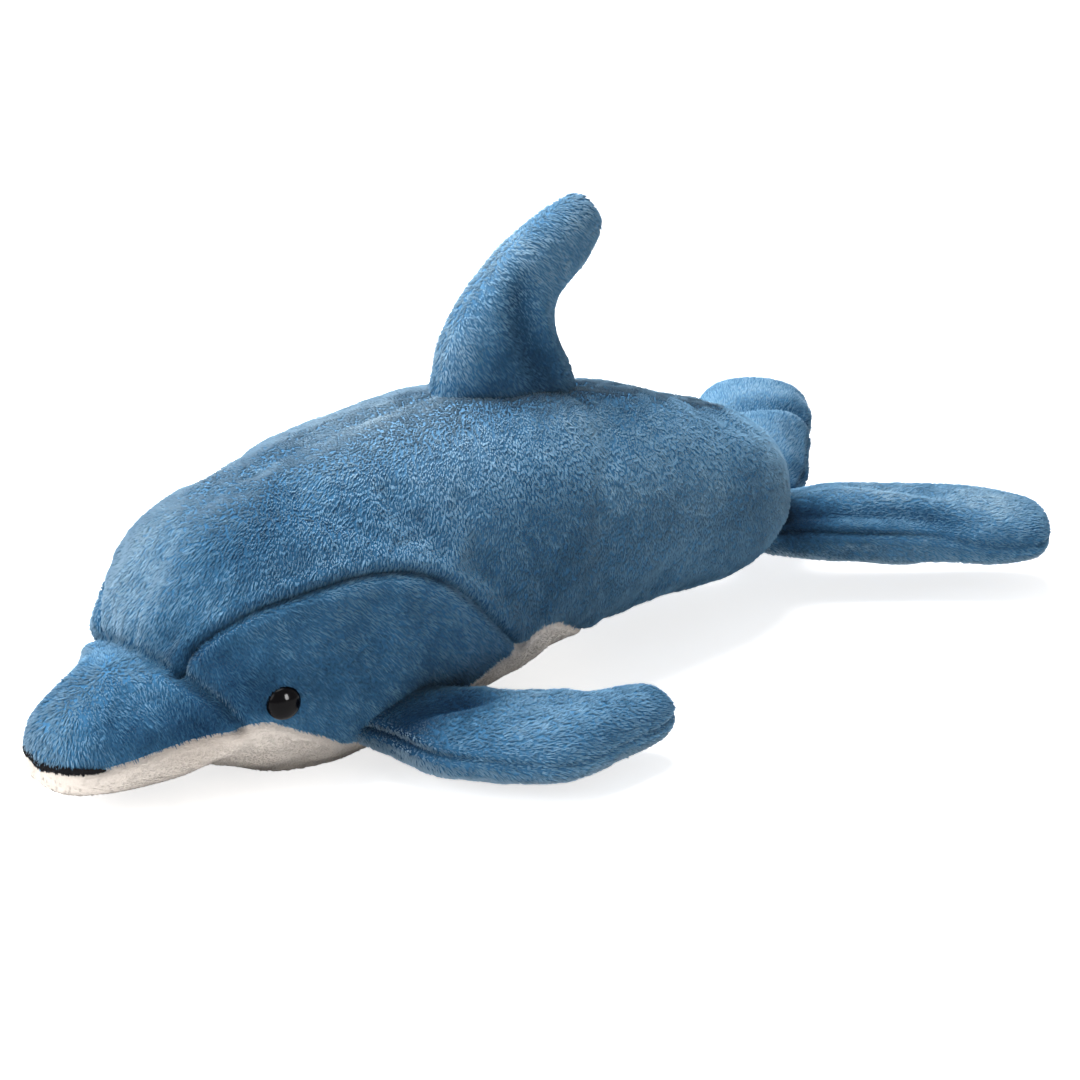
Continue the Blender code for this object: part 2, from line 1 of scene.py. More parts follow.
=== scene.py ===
"""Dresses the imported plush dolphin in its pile, beads and thread, and puts it in a plain studio.

The snout points to -X, the back to +Z and the dolphin's left side to -Y. The forms repeat the sizes of
the part's pattern in millimetres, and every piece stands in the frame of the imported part.
"""

from __future__ import annotations

import logging
import math
from dataclasses import dataclass, field
from enum import Enum
from typing import NamedTuple

import bmesh
import bpy
import numpy as np
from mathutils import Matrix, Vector, kdtree, noise
from mathutils.bvhtree import BVHTree


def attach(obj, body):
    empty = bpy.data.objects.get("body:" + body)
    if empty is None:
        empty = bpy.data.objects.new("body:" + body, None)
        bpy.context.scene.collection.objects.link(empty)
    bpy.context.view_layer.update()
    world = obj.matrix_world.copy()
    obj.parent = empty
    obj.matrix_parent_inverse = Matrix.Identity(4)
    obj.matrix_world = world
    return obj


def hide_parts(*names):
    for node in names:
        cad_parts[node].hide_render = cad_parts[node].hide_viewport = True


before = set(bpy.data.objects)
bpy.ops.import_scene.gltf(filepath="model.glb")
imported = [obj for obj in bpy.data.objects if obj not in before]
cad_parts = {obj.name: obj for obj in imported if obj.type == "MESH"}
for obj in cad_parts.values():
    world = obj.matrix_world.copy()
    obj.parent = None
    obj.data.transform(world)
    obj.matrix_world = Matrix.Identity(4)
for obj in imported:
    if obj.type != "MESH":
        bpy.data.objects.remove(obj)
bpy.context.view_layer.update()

MM = 0.001
BODY = "root"
# From the pattern's own origin, at the snout's end of its table, to the frame's origin.
PATTERN_SHIFT = np.array([-230.83, 0.0, 0.0]) * MM
SECTION_POWER = 2.2

log = logging.getLogger("plush_dolphin")


class Panel(Enum):
    """The sewn panels, by the number that their faces carry."""

    BELLY = 0
    BEAK = 1
    CHEEK_LEFT = 2
    CHEEK_RIGHT = 3
    BACK_LEFT = 4
    BACK_RIGHT = 5
    FIN_FIRST = 6
    FIN_SECOND = 7


class Station(NamedTuple):
    """One section of the body, in millimetres and degrees."""

    x: float
    top: float
    lean: float
    half_width: float
    middle: float
    bottom: float
    belly_seam: float
    cheek_seam: float


class Rib(NamedTuple):
    """One section of a fin, in millimetres: its centre, half chord and half thickness."""

    x: float
    y: float
    z: float
    half_chord: float
    half_thickness: float


BODY_STATIONS = tuple(
    Station(*row)
    for row in (
        (11.2, 13.8, 0.0, 0.0, 13.8, 13.8, -4.0, 60.0),
        (12.9, 28.4, 0.0, 12.4, 15.6, 10.6, -4.0, 60.0),
        (18.6, 35.8, 0.0, 20.0, 18.2, 7.0, -3.0, 60.0),
        (28.0, 41.3, 3.0, 26.2, 21.0, 5.2, 3.0, 60.0),
        (39.0, 46.6, 8.0, 32.0, 24.0, 5.0, 4.0, 60.0),
        (49.5, 50.5, 14.0, 42.0, 31.0, 7.2, -3.0, 59.0),
        (53.0, 62.0, 14.0, 44.5, 35.0, 6.4, -6.7, 53.5),
        (60.0, 75.0, 13.0, 47.0, 37.6, 4.4, -11.0, 44.5),
        (71.0, 89.5, 11.0, 49.5, 40.0, 0.5, -20.0, 35.5),
        (87.0, 96.5, 8.0, 52.0, 43.2, -4.0, -29.6, 31.5),
        (106.0, 102.0, 4.0, 53.8, 45.5, -6.0, -40.7, 28.5),
        (130.0, 107.0, 1.0, 55.6, 48.2, -4.5, -44.0, 21.7),
        (158.0, 110.8, 0.0, 56.3, 51.0, -0.5, -39.0, 1.4),
        (189.0, 113.0, 0.0, 55.5, 53.4, 5.5, -33.0, -33.0),
        (215.0, 111.0, 0.0, 54.3, 54.3, 10.5, -44.0, -44.0),
        (240.0, 107.0, 0.0, 52.5, 54.7, 15.5, -68.0, -68.0),
        (260.0, 103.2, 0.0, 50.5, 54.0, 16.0, -90.0, -90.0),
        (280.0, 98.6, 0.0, 48.3, 53.2, 15.0, -90.0, -90.0),
        (305.0, 90.4, 0.0, 45.0, 50.4, 13.6, -90.0, -90.0),
        (325.0, 83.6, 0.0, 38.7, 47.9, 13.4, -90.0, -90.0),
        (340.0, 75.8, 0.0, 29.6, 45.2, 15.0, -90.0, -90.0),
        (351.0, 66.1, 0.0, 19.7, 42.3, 18.0, -90.0, -90.0),
        (358.0, 56.0, 0.0, 11.5, 39.0, 23.0, -90.0, -90.0),
        (361.0, 38.0, 0.0, 0.0, 38.0, 38.0, -90.0, -90.0),
    )
)
BEAK_SEAM = 5
CHEEK_END = 13
BELLY_END = 16
# the mouth's stitched line, level round the snout: u and angle from its end to the snout's tip
MOUTH_MARKS = (
    (2.4, 4.0),
    (2.0, 7.0),
    (1.66, 10.0),
    (1.33, 14.0),
    (0.96, 20.0),
    (0.56, 31.0),
    (0.3, 54.0),
    (0.22, 89.0),
)
# behind the mouth the white follows the belly's seam, and behind the cheek it is pulled up a little
WHITE_START = 3.0
WHITE_RISE = 14.0
WHITE_RISE_STATION = 13.2
WHITE_RISE_REACH = 0.95
TAIL_END = len(BODY_STATIONS) - 1

DORSAL_RIBS = tuple(
    Rib(*row)
    for row in (
        (216.6, 0.0, 98.4, 35.3, 15.0),
        (216.2, 0.0, 123.0, 30.2, 14.0),
        (226.6, 0.0, 147.2, 17.8, 12.0),
        (248.4, 0.0, 163.0, 13.6, 9.5),
        (258.4, 0.0, 170.0, 9.2, 6.0),
        (260.6, 0.0, 172.0, 0.0, 0.0),
    )
)
PECTORAL_RIBS = tuple(
    Rib(*row)
    for row in (
        (120.0, -22.0, 19.0, 16.0, 8.0),
        (132.0, -47.0, 16.4, 20.5, 12.0),
        (141.5, -69.6, 15.4, 28.0, 13.0),
        (156.5, -86.1, 15.3, 28.5, 12.8),
        (177.0, -96.0, 16.2, 18.5, 11.8),
        (196.0, -99.0, 17.2, 12.5, 9.8),
        (201.8, -99.6, 17.4, 7.5, 6.0),
        (203.8, -99.8, 17.4, 0.0, 0.0),
    )
)
# share of the fluke's length, half chord and half thickness
FLUKE_SHARES = (
    (0.0, 21.7, 9.5),
    (0.25, 25.3, 13.8),
    (0.5, 25.5, 15.2),
    (0.75, 26.5, 14.2),
    (0.93, 22.5, 11.4),
    (0.985, 14.5, 7.4),
    (1.0, 0.0, 0.0),
)
# how far to each side, in ribs, a fin's direction is taken, so that its edges turn smoothly
FRAME_STEP = 0.8
FLUKE_ROOT = (350.0, 0.15, 29.2)
FLUKE_SWEEP = math.radians(47.7)
FLUKE_LENGTH = 122.5
FLUKE_LEFT_RISE = -4.5
FLUKE_RIGHT_RISE = 19.0

# the cloth simulation: its cells, frames, air pressure, how much larger the cloth is cut than its form,
# and the most that it may move the fabric
CLOTH_CELL = 5.0 * MM
CLOTH_FRAMES = 20
CLOTH_PRESSURE = 4.0
CLOTH_EXCESS = 0.02
MOST_SWELL = 2.5 * MM
# how far from a seam the cloth is held, how many of its vertices move each point of the skin, and a
# distance that keeps the nearest from taking all the weight
CLOTH_HOLD = 1.2 * CLOTH_CELL
CLOTH_NEIGHBOURS = 4
CLOTH_SOFTENING = 0.1 * MM
# how far above the floor the fabric rests, the height over which its underside is pressed flat, and
# how much of it is pressed away, in insets
REST_CLEARANCE = 0.3 * MM
REST_BLEND = 1.5 * MM
REST_PRESS = 1.5
# beside a seam the fabric bulges: how high, in the seam's depths, and how far off and how wide, in its
# widths
WELT_HEIGHT = 0.3
WELT_OFFSET = 2.6
WELT_WIDTH = 1.5
# points closer than this are joined, and edges shorter than this are taken out
JOIN_DISTANCE = 0.02 * MM
SHORTEST_EDGE = 0.005 * MM
# the pile's tone varies: how much and over what size
TONE_NOISE = ((0.13, 45.0 * MM), (0.09, 17.0 * MM))
# near a seam the pile is shorter and its tone is painted darker as shade in the groove: how far, in its
# widths, from what depth in full, how much painted shade and how much shorter, and over what distance it
# comes back where it is missing
SEAM_SPREAD = 1.4
FULL_SEAM = 1.5 * MM
SEAM_PAINTED_SHADE = 0.22
SEAM_CUT = 0.5
BARE_FADE = 0.5 * MM


class PaintedLightPatch(NamedTuple):
    """A place where light or shade is painted into the pile's tone: deeper for painted shade, paler for
    painted light.
    """

    centre: tuple[float, float, float]
    radius: float
    amount: float


# painted shade and painted light in the pile's tone, deeper where shade falls and paler where light falls
# on tops and rims: centre and radius in millimetres, and how much
BODY_PAINTED_LIGHT = tuple(
    PaintedLightPatch(*row)
    for row in (
        ((-148.0, -19.0, 92.0), 17.0, -0.16),
        ((-108.0, 0.0, 106.0), 13.0, -0.1),
        ((-178.0, -17.0, 56.0), 13.0, -0.32),
        ((-174.0, -33.0, 53.0), 10.0, -0.22),
        ((-182.0, -34.0, 30.0), 14.0, -0.4),
        ((-202.0, -22.0, 34.0), 14.0, -0.22),
        ((-165.0, -45.0, 44.0), 12.0, -0.28),
        ((-37.0, -55.0, 62.0), 32.0, -0.04),
        ((-134.0, -52.0, 49.0), 30.0, -0.17),
        ((-98.0, -56.0, 48.0), 24.0, -0.12),
        ((-134.0, 52.0, 49.0), 30.0, -0.14),
        ((-37.0, 55.0, 62.0), 32.0, -0.04),
        ((-177.0, 12.0, 63.0), 20.0, 0.2),
        ((-160.0, 8.0, 90.0), 20.0, 0.3),
        ((-78.0, -5.0, 110.0), 36.0, 0.3),
        ((20.0, -38.0, 90.0), 34.0, 0.1),
        ((110.0, -28.0, 62.0), 18.0, 0.16),
    )
)
# painted light and shade on the fins and flukes, deeper or paler in the same way
DORSAL_PAINTED_LIGHT = tuple(
    PaintedLightPatch(*row)
    for row in (
        ((-26.0, -13.0, 130.0), 11.0, -0.1),
        ((-1.0, -13.0, 116.0), 12.0, -0.2),
        ((-28.0, -13.0, 116.0), 10.0, -0.18),
        ((18.0, 0.0, 163.0), 20.0, 0.22),
        ((-20.0, 0.0, 157.0), 14.0, 0.2),
        ((-40.0, -4.0, 130.0), 14.0, 0.3),
    )
)
PECTORAL_PAINTED_LIGHT = tuple(
    PaintedLightPatch(*row)
    for row in (
        ((-93.0, -68.0, 28.0), 11.0, -0.34),
        ((-114.0, -62.0, 23.0), 14.0, -0.45),
        ((-78.0, -88.0, 28.0), 14.0, 0.12),
    )
)
FLUKE_LEFT_PAINTED_LIGHT = tuple(
    PaintedLightPatch(*row)
    for row in (
        ((118.0, -28.0, 36.0), 14.0, -0.45),
        ((157.0, -35.0, 43.0), 15.0, 0.32),
        ((185.0, -68.0, 43.0), 20.0, 0.24),
    )
)
FLUKE_RIGHT_PAINTED_LIGHT = tuple(
    PaintedLightPatch(*row)
    for row in (
        ((180.0, 50.0, 56.0), 34.0, 0.14),
        ((155.0, 28.0, 45.0), 14.0, 0.2),
    )
)


def linear(hex_colour: str) -> tuple[float, float, float, float]:
    """Turns an sRGB hex colour into Blender's linear colour.

    Args:
        hex_colour: Six hex digits with a leading hash.

    Returns:
        Linear red, green, blue and an alpha of 1.
    """
    parts = (int(hex_colour[k : k + 2], 16) / 255 for k in (1, 3, 5))
    return (*(p / 12.92 if p <= 0.04045 else ((p + 0.055) / 1.055) ** 2.4 for p in parts), 1.0)


class Graph:
    """A node tree being written: each call adds a node, and most return its result."""

    def __init__(self, tree: bpy.types.NodeTree) -> None:
        """Takes the tree that the nodes go into."""
        self.tree = tree

    def put(self, node: bpy.types.Node, inputs: dict) -> None:
        """Sets a node's inputs.

        Args:
            node: The node.
            inputs: Values, or sockets to link from, by the input's name or number.
        """
        for key, value in inputs.items():
            if isinstance(value, bpy.types.NodeSocket):
                self.tree.links.new(value, node.inputs[key])
            else:
                node.inputs[key].default_value = value

    def add(self, kind: str, inputs: dict | None = None, **settings) -> bpy.types.Node:
        """Adds one node.

        Args:
            kind: Blender's name for the type of node.
            inputs: Values, or sockets to link from, by the input's name or number.
            **settings: Properties of the node itself.

        Returns:
            The new node.
        """
        node = self.tree.nodes.new(kind)
        for name, value in settings.items():
            setattr(node, name, value)
        self.put(node, inputs or {})
        return node

    def get(
        self, output: str | int, kind: str, inputs: dict | None = None, **settings
    ) -> bpy.types.NodeSocket:
        """Adds one node as add does, and returns its output of that name or number."""
        return self.add(kind, inputs, **settings).outputs[output]

    def math(self, operation: str, *values) -> bpy.types.NodeSocket:
        """Returns the result of an operation on numbers or sockets."""
        return self.get(0, "ShaderNodeMath", dict(enumerate(values)), operation=operation)

    def vector(self, operation: str, *values, output: str = "Vector") -> bpy.types.NodeSocket:
        """Returns the result of an operation on vectors."""
        return self.get(output, "ShaderNodeVectorMath", dict(enumerate(values)), operation=operation)

    def scaled(self, vector, factor) -> bpy.types.NodeSocket:
        """Returns a vector times a number."""
        return self.get("Vector", "ShaderNodeVectorMath", {0: vector, "Scale": factor}, operation="SCALE")

    def triple(self, x, y, z) -> bpy.types.NodeSocket:
        """Returns a vector of three numbers."""
        return self.get("Vector", "ShaderNodeCombineXYZ", {"X": x, "Y": y, "Z": z})

    def attribute(self, name: str, kind: str = "FLOAT") -> bpy.types.NodeSocket:
        """Returns a named attribute of a geometry."""
        return self.get("Attribute", "GeometryNodeInputNamedAttribute", {"Name": name}, data_type=kind)

    def painted(self, name: str) -> bpy.types.NodeSocket:
        """Returns a named attribute of a surface for its finish."""
        return self.get("Fac", "ShaderNodeAttribute", attribute_name=name)

    def store(
        self, geometry, name: str, value, kind: str = "FLOAT", domain: str = "POINT"
    ) -> bpy.types.NodeSocket:
        """Returns the geometry with a value stored on it under a name."""
        inputs = {"Geometry": geometry, "Name": name, "Value": value}
        node = "GeometryNodeStoreNamedAttribute"
        return self.get("Geometry", node, inputs, data_type=kind, domain=domain)

    def random(self, low: float, high: float, seed) -> bpy.types.NodeSocket:
        """Returns a random number for each point."""
        inputs = {2: low, 3: high, "Seed": seed}
        return self.get(1, "FunctionNodeRandomValue", inputs, data_type="FLOAT")

    def noise(self, scale: float, detail: float, roughness: float = 0.5) -> bpy.types.NodeSocket:
        """Returns noise that lies still on the object."""
        place = self.get("Object", "ShaderNodeTexCoord")
        inputs = {"Vector": place, "Scale": scale, "Detail": detail, "Roughness": roughness}
        return self.get("Fac", "ShaderNodeTexNoise", inputs)

    def ranged(self, value, given: tuple, wanted: tuple, form: str = "LINEAR") -> bpy.types.NodeSocket:
        """Returns a value moved from one range to another.

        Args:
            value: The value's socket.
            given: The two ends of its range.
            wanted: The two ends that it is moved to.
            form: How it goes from one end to the other.

        Returns:
            The result's socket.
        """
        ends = dict(zip(("From Min", "From Max", "To Min", "To Max"), (*given, *wanted)))
        return self.get("Result", "ShaderNodeMapRange", {"Value": value, **ends}, interpolation_type=form)

    def ramp(self, factor: bpy.types.NodeSocket, stops: dict[float, str]) -> bpy.types.NodeSocket:
        """Adds a colour ramp.

        Args:
            factor: The socket that drives the ramp.
            stops: sRGB hex colours by their place from 0 to 1.

        Returns:
            The ramp's colour socket.
        """
        ramp = self.add("ShaderNodeValToRGB", {"Fac": factor})
        elements = ramp.color_ramp.elements
        while len(elements) < len(stops):
            elements.new(0.5)
        for element, (place, colour) in zip(elements, sorted(stops.items())):
            element.position = place
            element.color = linear(colour)
        return ramp.outputs["Color"]

    def bump(self, height: bpy.types.NodeSocket, distance: float, strength: float) -> bpy.types.NodeSocket:
        """Returns the normal of a fine relief."""
        inputs = {"Height": height, "Distance": distance, "Strength": strength}
        return self.get("Normal", "ShaderNodeBump", inputs)


def new_material(name: str) -> tuple[bpy.types.Material, Graph, bpy.types.Node]:
    """Makes an empty Principled material.

    Args:
        name: What the real material is.

    Returns:
        The material, its graph and its shader.
    """
    material = bpy.data.materials.new(name)
    material.use_nodes = True
    return material, Graph(material.node_tree), material.node_tree.nodes["Principled BSDF"]


def new_geometry_tree(name: str, kinds: dict[str, str]) -> tuple[Graph, dict[str, str]]:
    """Makes a geometry tree that takes a geometry and named values.

    Args:
        name: The tree's name.
        kinds: The type of each value by its name.

    Returns:
        The tree's graph, and each value's identifier by its name.
    """
    tree = bpy.data.node_groups.new(name, "GeometryNodeTree")
    tree.interface.new_socket("Geometry", in_out="INPUT", socket_type="NodeSocketGeometry")
    names = {}
    for key, kind in kinds.items():
        socket = tree.interface.new_socket(key, in_out="INPUT", socket_type=f"NodeSocket{kind}")
        names[key] = socket.identifier
    tree.interface.new_socket("Geometry", in_out="OUTPUT", socket_type="NodeSocketGeometry")
    return Graph(tree), names


def dressed(
    holder: bpy.types.Object, tree: bpy.types.NodeTree, names: dict[str, str], values: dict
) -> bpy.types.Mesh:
    """Runs a geometry tree on an object.

    Args:
        holder: The object.
        tree: The geometry tree.
        names: Each value's identifier by its name.
        values: The values by their names, with the material as Material.

    Returns:
        The result as a plain mesh. The object stays as it was.
    """
    modifier = holder.modifiers.new("dressing", "NODES")
    modifier.node_group = tree
    for name, value in values.items():
        modifier[names[name]] = value
    graph = bpy.context.evaluated_depsgraph_get()
    mesh = bpy.data.meshes.new_from_object(holder.evaluated_get(graph), depsgraph=graph)
    holder.modifiers.remove(modifier)
    if not mesh.materials:
        mesh.materials.append(values["Material"])
    return mesh


def shown(name: str, data: bpy.types.ID) -> bpy.types.Object:
    """Puts a finished mesh, a lamp or the camera into the scene.

    Args:
        name: Its name.
        data: The mesh, in the frame's metres, the lamp or the camera.

    Returns:
        The new object.
    """
    item = bpy.data.objects.new(name, data)
    bpy.context.scene.collection.objects.link(item)
    return item


def vertex_places(mesh: bpy.types.Mesh) -> np.ndarray:
    """Reads a mesh's vertices.

    Args:
        mesh: The mesh.

    Returns:
        One row of coordinates for each vertex.
    """
    flat = np.zeros(len(mesh.vertices) * 3)
    mesh.vertices.foreach_get("co", flat)
    return flat.reshape(-1, 3)


def report(name: str, mesh: bpy.types.Mesh) -> None:
    """Logs how many triangles a finished piece has."""
    log.info("%s: %d triangles", name, sum(len(p.vertices) - 2 for p in mesh.polygons))


def search_tree(points: np.ndarray) -> kdtree.KDTree:
    """Returns a tree that finds the nearest of the points."""
    tree = kdtree.KDTree(len(points))
    for k, place in enumerate(points):
        tree.insert(place, k)
    tree.balance()
    return tree


def bell(distance: np.ndarray, width: float) -> np.ndarray:
    """Returns 1 at no distance, falling smoothly towards 0 over the width."""
    return np.exp(-((distance / width) ** 2))


def unit(vectors: np.ndarray) -> np.ndarray:
    """Returns the vectors with a length of 1."""
    return vectors / np.linalg.norm(vectors, axis=-1, keepdims=True)


def walked(points: np.ndarray) -> np.ndarray:
    """Returns how far along the line through the points each one lies."""
    return np.concatenate([[0.0], np.cumsum(np.linalg.norm(np.diff(points, axis=0), axis=1))])


def through(marks: tuple[tuple[float, float], ...], count: int) -> list[np.ndarray]:
    """Returns the two columns of count pairs that lead evenly through the marks."""
    way = np.linspace(0.0, len(marks) - 1, count)
    return [np.interp(way, range(len(marks)), column) for column in zip(*marks)]


@dataclass(frozen=True)
class KnitBacking:
    """The knitted ground of a plush fabric, seen only between its tufts.

    Polyester knit dyed with its pile is dull, and it is painted a little darker than the pile as shade
    under the tufts; the pile's roots give it a fine broken grain of about a millimetre.
    """

    name: str
    shadow: str
    body: str
    light: str
    grain: float = 0.9 * MM
    relief: float = 0.3 * MM

    def make(self) -> bpy.types.Material:
        """Builds the material."""
        material, graph, shader = new_material(self.name)
        grain = graph.noise(1 / self.grain, 3.0, 0.6)
        mixed = graph.math("MULTIPLY_ADD", grain, 0.5, graph.painted("tone_and_painted_light"))
        stops = {0.0: self.shadow, 0.5: self.body, 1.0: self.light}
        colour = graph.ramp(graph.math("SUBTRACT", mixed, 0.25), stops)
        # painted shade: the hollows of seams and folds take the shadow's colour
        # the mix node's colour sockets: 0 the share, 6 and 7 the two colours, 2 the result
        inputs = {0: graph.painted("hollow"), 6: colour, 7: linear(self.shadow)}
        seam_shaded = graph.get(2, "ShaderNodeMix", inputs, data_type="RGBA")
        normal = graph.bump(grain, self.relief, 0.8)
        graph.put(shader, {"Base Color": seam_shaded, "Normal": normal})
        graph.put(shader, {"Roughness": 0.9, "Specular IOR Level": 0.05})
        return material


@dataclass(frozen=True)
class PileFibre:
    """Cut polyester pile: each tuft is painted dark at its root, as painted shade between the tufts, and
    pale at its tip.

    The tuft's own UV map holds the way from root to tip across and the tuft's shade upwards, its painted
    light and shade included, so the colours ride on the tufts and not on their places. Above tip_start of
    its length a tuft has the full colour of its tip.
    """

    name: str
    shades: dict[float, str]
    root: float
    sheen: float
    tint: str
    tip_start: float = 0.7

    def make(self) -> bpy.types.Material:
        """Builds the material."""
        material, graph, shader = new_material(self.name)
        uv = graph.get("UV", "ShaderNodeUVMap", uv_map="OFBake")
        parts = graph.add("ShaderNodeSeparateXYZ", {"Vector": uv}).outputs
        # painted shade: each tuft is darker towards its root
        level = graph.ranged(parts["X"], (0.0, self.tip_start), (self.root, 1.0), "SMOOTHSTEP")
        colour = graph.scaled(graph.ramp(parts["Y"], self.shades), level)
        graph.put(shader, {"Base Color": colour, "Roughness": 0.8, "Specular IOR Level": 0.05})
        tint = linear(self.tint)
        graph.put(shader, {"Sheen Weight": self.sheen, "Sheen Roughness": 0.4, "Sheen Tint": tint})
        return material


@dataclass(frozen=True)
class BeadPlastic:
    """Black injection-moulded acrylic of a safety eye: mirror-smooth with a clear, hard gleam."""

    name: str = "black moulded acrylic"
    colour: str = "#050406"
    wear_scale: float = 900.0

    def make(self) -> bpy.types.Material:
        """Builds the material."""
        material, graph, shader = new_material(self.name)
        rough = graph.ranged(graph.noise(self.wear_scale, 2.0), (0.3, 0.7), (0.1, 0.16))
        colour = linear(self.colour)
        graph.put(shader, {"Base Color": colour, "Roughness": rough, "Specular IOR Level": 0.06})
        return material


@dataclass(frozen=True)
class EmbroideryThread:
    """Black rayon embroidery thread: twisted strands with a faint silky line along each."""

    name: str = "black rayon embroidery thread"
    dark: str = "#030304"
    light: str = "#17161a"
    strand: float = 0.35 * MM
    relief: float = 0.1 * MM

    def make(self) -> bpy.types.Material:
        """Builds the material."""
        material, graph, shader = new_material(self.name)
        strands = graph.noise(1 / self.strand, 2.0)
        colour = graph.ramp(strands, {0.3: self.dark, 0.75: self.light})
        normal = graph.bump(strands, self.relief, 0.6)
        graph.put(shader, {"Base Color": colour, "Normal": normal})
        graph.put(shader, {"Roughness": 0.6, "Specular IOR Level": 0.05})
        return material


class Curve:
    """A smooth curve through values at the whole numbers that never overshoots them."""

    def __init__(self, values: list[float], start: float | None = None, end: float | None = None) -> None:
        """Works out the slopes.

        Args:
            values: The curve's values at 0, 1, 2 and so on.
            start: The slope at the first value, or None for that of the first step.
            end: The slope at the last value, or None for that of the last step.
        """
        self.values = np.array(values, float)
        steps = np.diff(self.values)
        self.slopes = np.zeros(len(self.values))
        product = steps[:-1] * steps[1:]
        total = np.where(product > 0, steps[:-1] + steps[1:], 1.0)
        self.slopes[1:-1] = np.where(product > 0, 2 * product / total, 0.0)
        self.slopes[0] = steps[0] if start is None else start
        self.slopes[-1] = steps[-1] if end is None else end

    def __call__(self, t: np.ndarray) -> np.ndarray:
        """Returns the curve's values at t."""
        i = np.clip(np.floor(t).astype(int), 0, len(self.values) - 2)
        u = t - i
        a, b = self.values[i], self.values[i + 1]
        p, q = self.slopes[i], self.slopes[i + 1]
        rise = a * (1 + 2 * u) * (1 - u) ** 2 + b * u * u * (3 - 2 * u)
        return rise + p * u * (1 - u) ** 2 - q * u * u * (1 - u)


def rounded(value: np.ndarray) -> np.ndarray:
    """Returns the superellipse's form of a sine or cosine."""
    return np.sign(value) * np.abs(value) ** (2 / SECTION_POWER)


def clustered(count: int, pull: float = 0.72) -> np.ndarray:
    """Shares from 0 to 1 that stand closer together at both ends, where the seams are.

    Args:
        count: How many steps.
        pull: From 0, even, to 1, all gathered at the ends.

    Returns:
        The shares, one more than the steps.
    """
    even = np.linspace(0.0, 1.0, count + 1)
    return even - pull * np.sin(2 * np.pi * even) / (2 * np.pi)


class Form:
    """A closed sewn form with two parameters: u along it and an angle in degrees round it."""

    last: float = 1.0
    # how far along and round, in degrees, a direction is taken
    steps: tuple[float, float] = (0.01, 0.5)

    def point(self, u: np.ndarray, angle: np.ndarray) -> np.ndarray:
        """Returns the form's points in the frame, in metres."""
        raise NotImplementedError

    def normal(self, u: np.ndarray, angle: np.ndarray) -> np.ndarray:
        """Returns the outward directions."""
        du, da = self.steps
        inner = np.clip(u, 2 * du, self.last - 2 * du)
        along = self.point(inner + du, angle) - self.point(inner - du, angle)
        round_it = self.point(inner, angle + da) - self.point(inner, angle - da)
        normal = np.cross(along, round_it)
        return normal / np.maximum(np.linalg.norm(normal, axis=-1, keepdims=True), 1e-12)


class BodyForm(Form):
    """The loft through the body's stations."""

    def __init__(self) -> None:
        """Makes one curve for each column of the station table."""
        column = {name: [getattr(s, name) for s in BODY_STATIONS] for name in Station._fields}
        self.last = float(TAIL_END)
        self.x = Curve(column["x"], 0.0, 0.0)
        self.lean = Curve(column["lean"])
        self.half_width = Curve(column["half_width"], 17.0, -17.0)
        self.middle = Curve(column["middle"])
        self.top = Curve(column["top"], 24.0, -24.0)
        self.bottom = Curve(column["bottom"], -4.0, 19.0)
        self.belly_seam = Curve(column["belly_seam"])
        self.cheek_seam = Curve(column["cheek_seam"])

    def point(self, u: np.ndarray, angle: np.ndarray) -> np.ndarray:
        """Returns the body's points in the frame, in metres."""
        sine, cosine = np.sin(np.radians(angle)), np.cos(np.radians(angle))
        middle = self.middle(u)
        rise = np.where(sine > 0, self.top(u) - middle, middle - self.bottom(u))
        x = self.x(u) + self.lean(u) * (1 - np.maximum(sine, 0.0))
        y = -self.half_width(u) * rounded(cosine)
        z = np.maximum(middle + rise * rounded(sine), 0.0)
        return np.stack([x, y, z], -1) * MM + PATTERN_SHIFT

    def normal(self, u: np.ndarray, angle: np.ndarray) -> np.ndarray:
        """Returns the outward directions, along the axis at the two poles."""
        normal = super().normal(u, angle)
        pole = np.zeros_like(normal)
        pole[..., 0] = np.where(u > self.last / 2, 1.0, -1.0)
        return np.where(((u <= 0.0) | (u >= self.last))[..., None], pole, normal)

    def white_edge(self, u: np.ndarray) -> np.ndarray:
        """Returns the angle where blue pile meets white: the belly's seam, or the mouth above it."""
        raised = WHITE_RISE * bell(u - WHITE_RISE_STATION, WHITE_RISE_REACH)
        places, angles = zip(*reversed(MOUTH_MARKS))
        start = float(self.belly_seam(np.array(WHITE_START)))
        mouth = np.interp(u, (*places, WHITE_START), (*angles, start))
        return np.where(u < WHITE_START, mouth, self.belly_seam(u) + raised)

    def mouth_line(self, count: int = 60) -> tuple[np.ndarray, np.ndarray]:
        """Returns the u and the angles of the mouth's line, from the left end round to the right one."""
        u, angle = through(MOUTH_MARKS, count)
        return np.concatenate([u, u[::-1]]), np.concatenate([angle, 180 - angle[::-1]])

    def edges(self, u: np.ndarray) -> list[np.ndarray]:
        """Returns the angles between which the panels lie, from under the right side all the way round."""
        belly = self.white_edge(u)
        cheek = np.where(u < CHEEK_END, np.maximum(self.cheek_seam(u), belly), belly)
        return [-180 - belly, belly, cheek, 90 + 0 * u, 180 - cheek, 180 - belly]


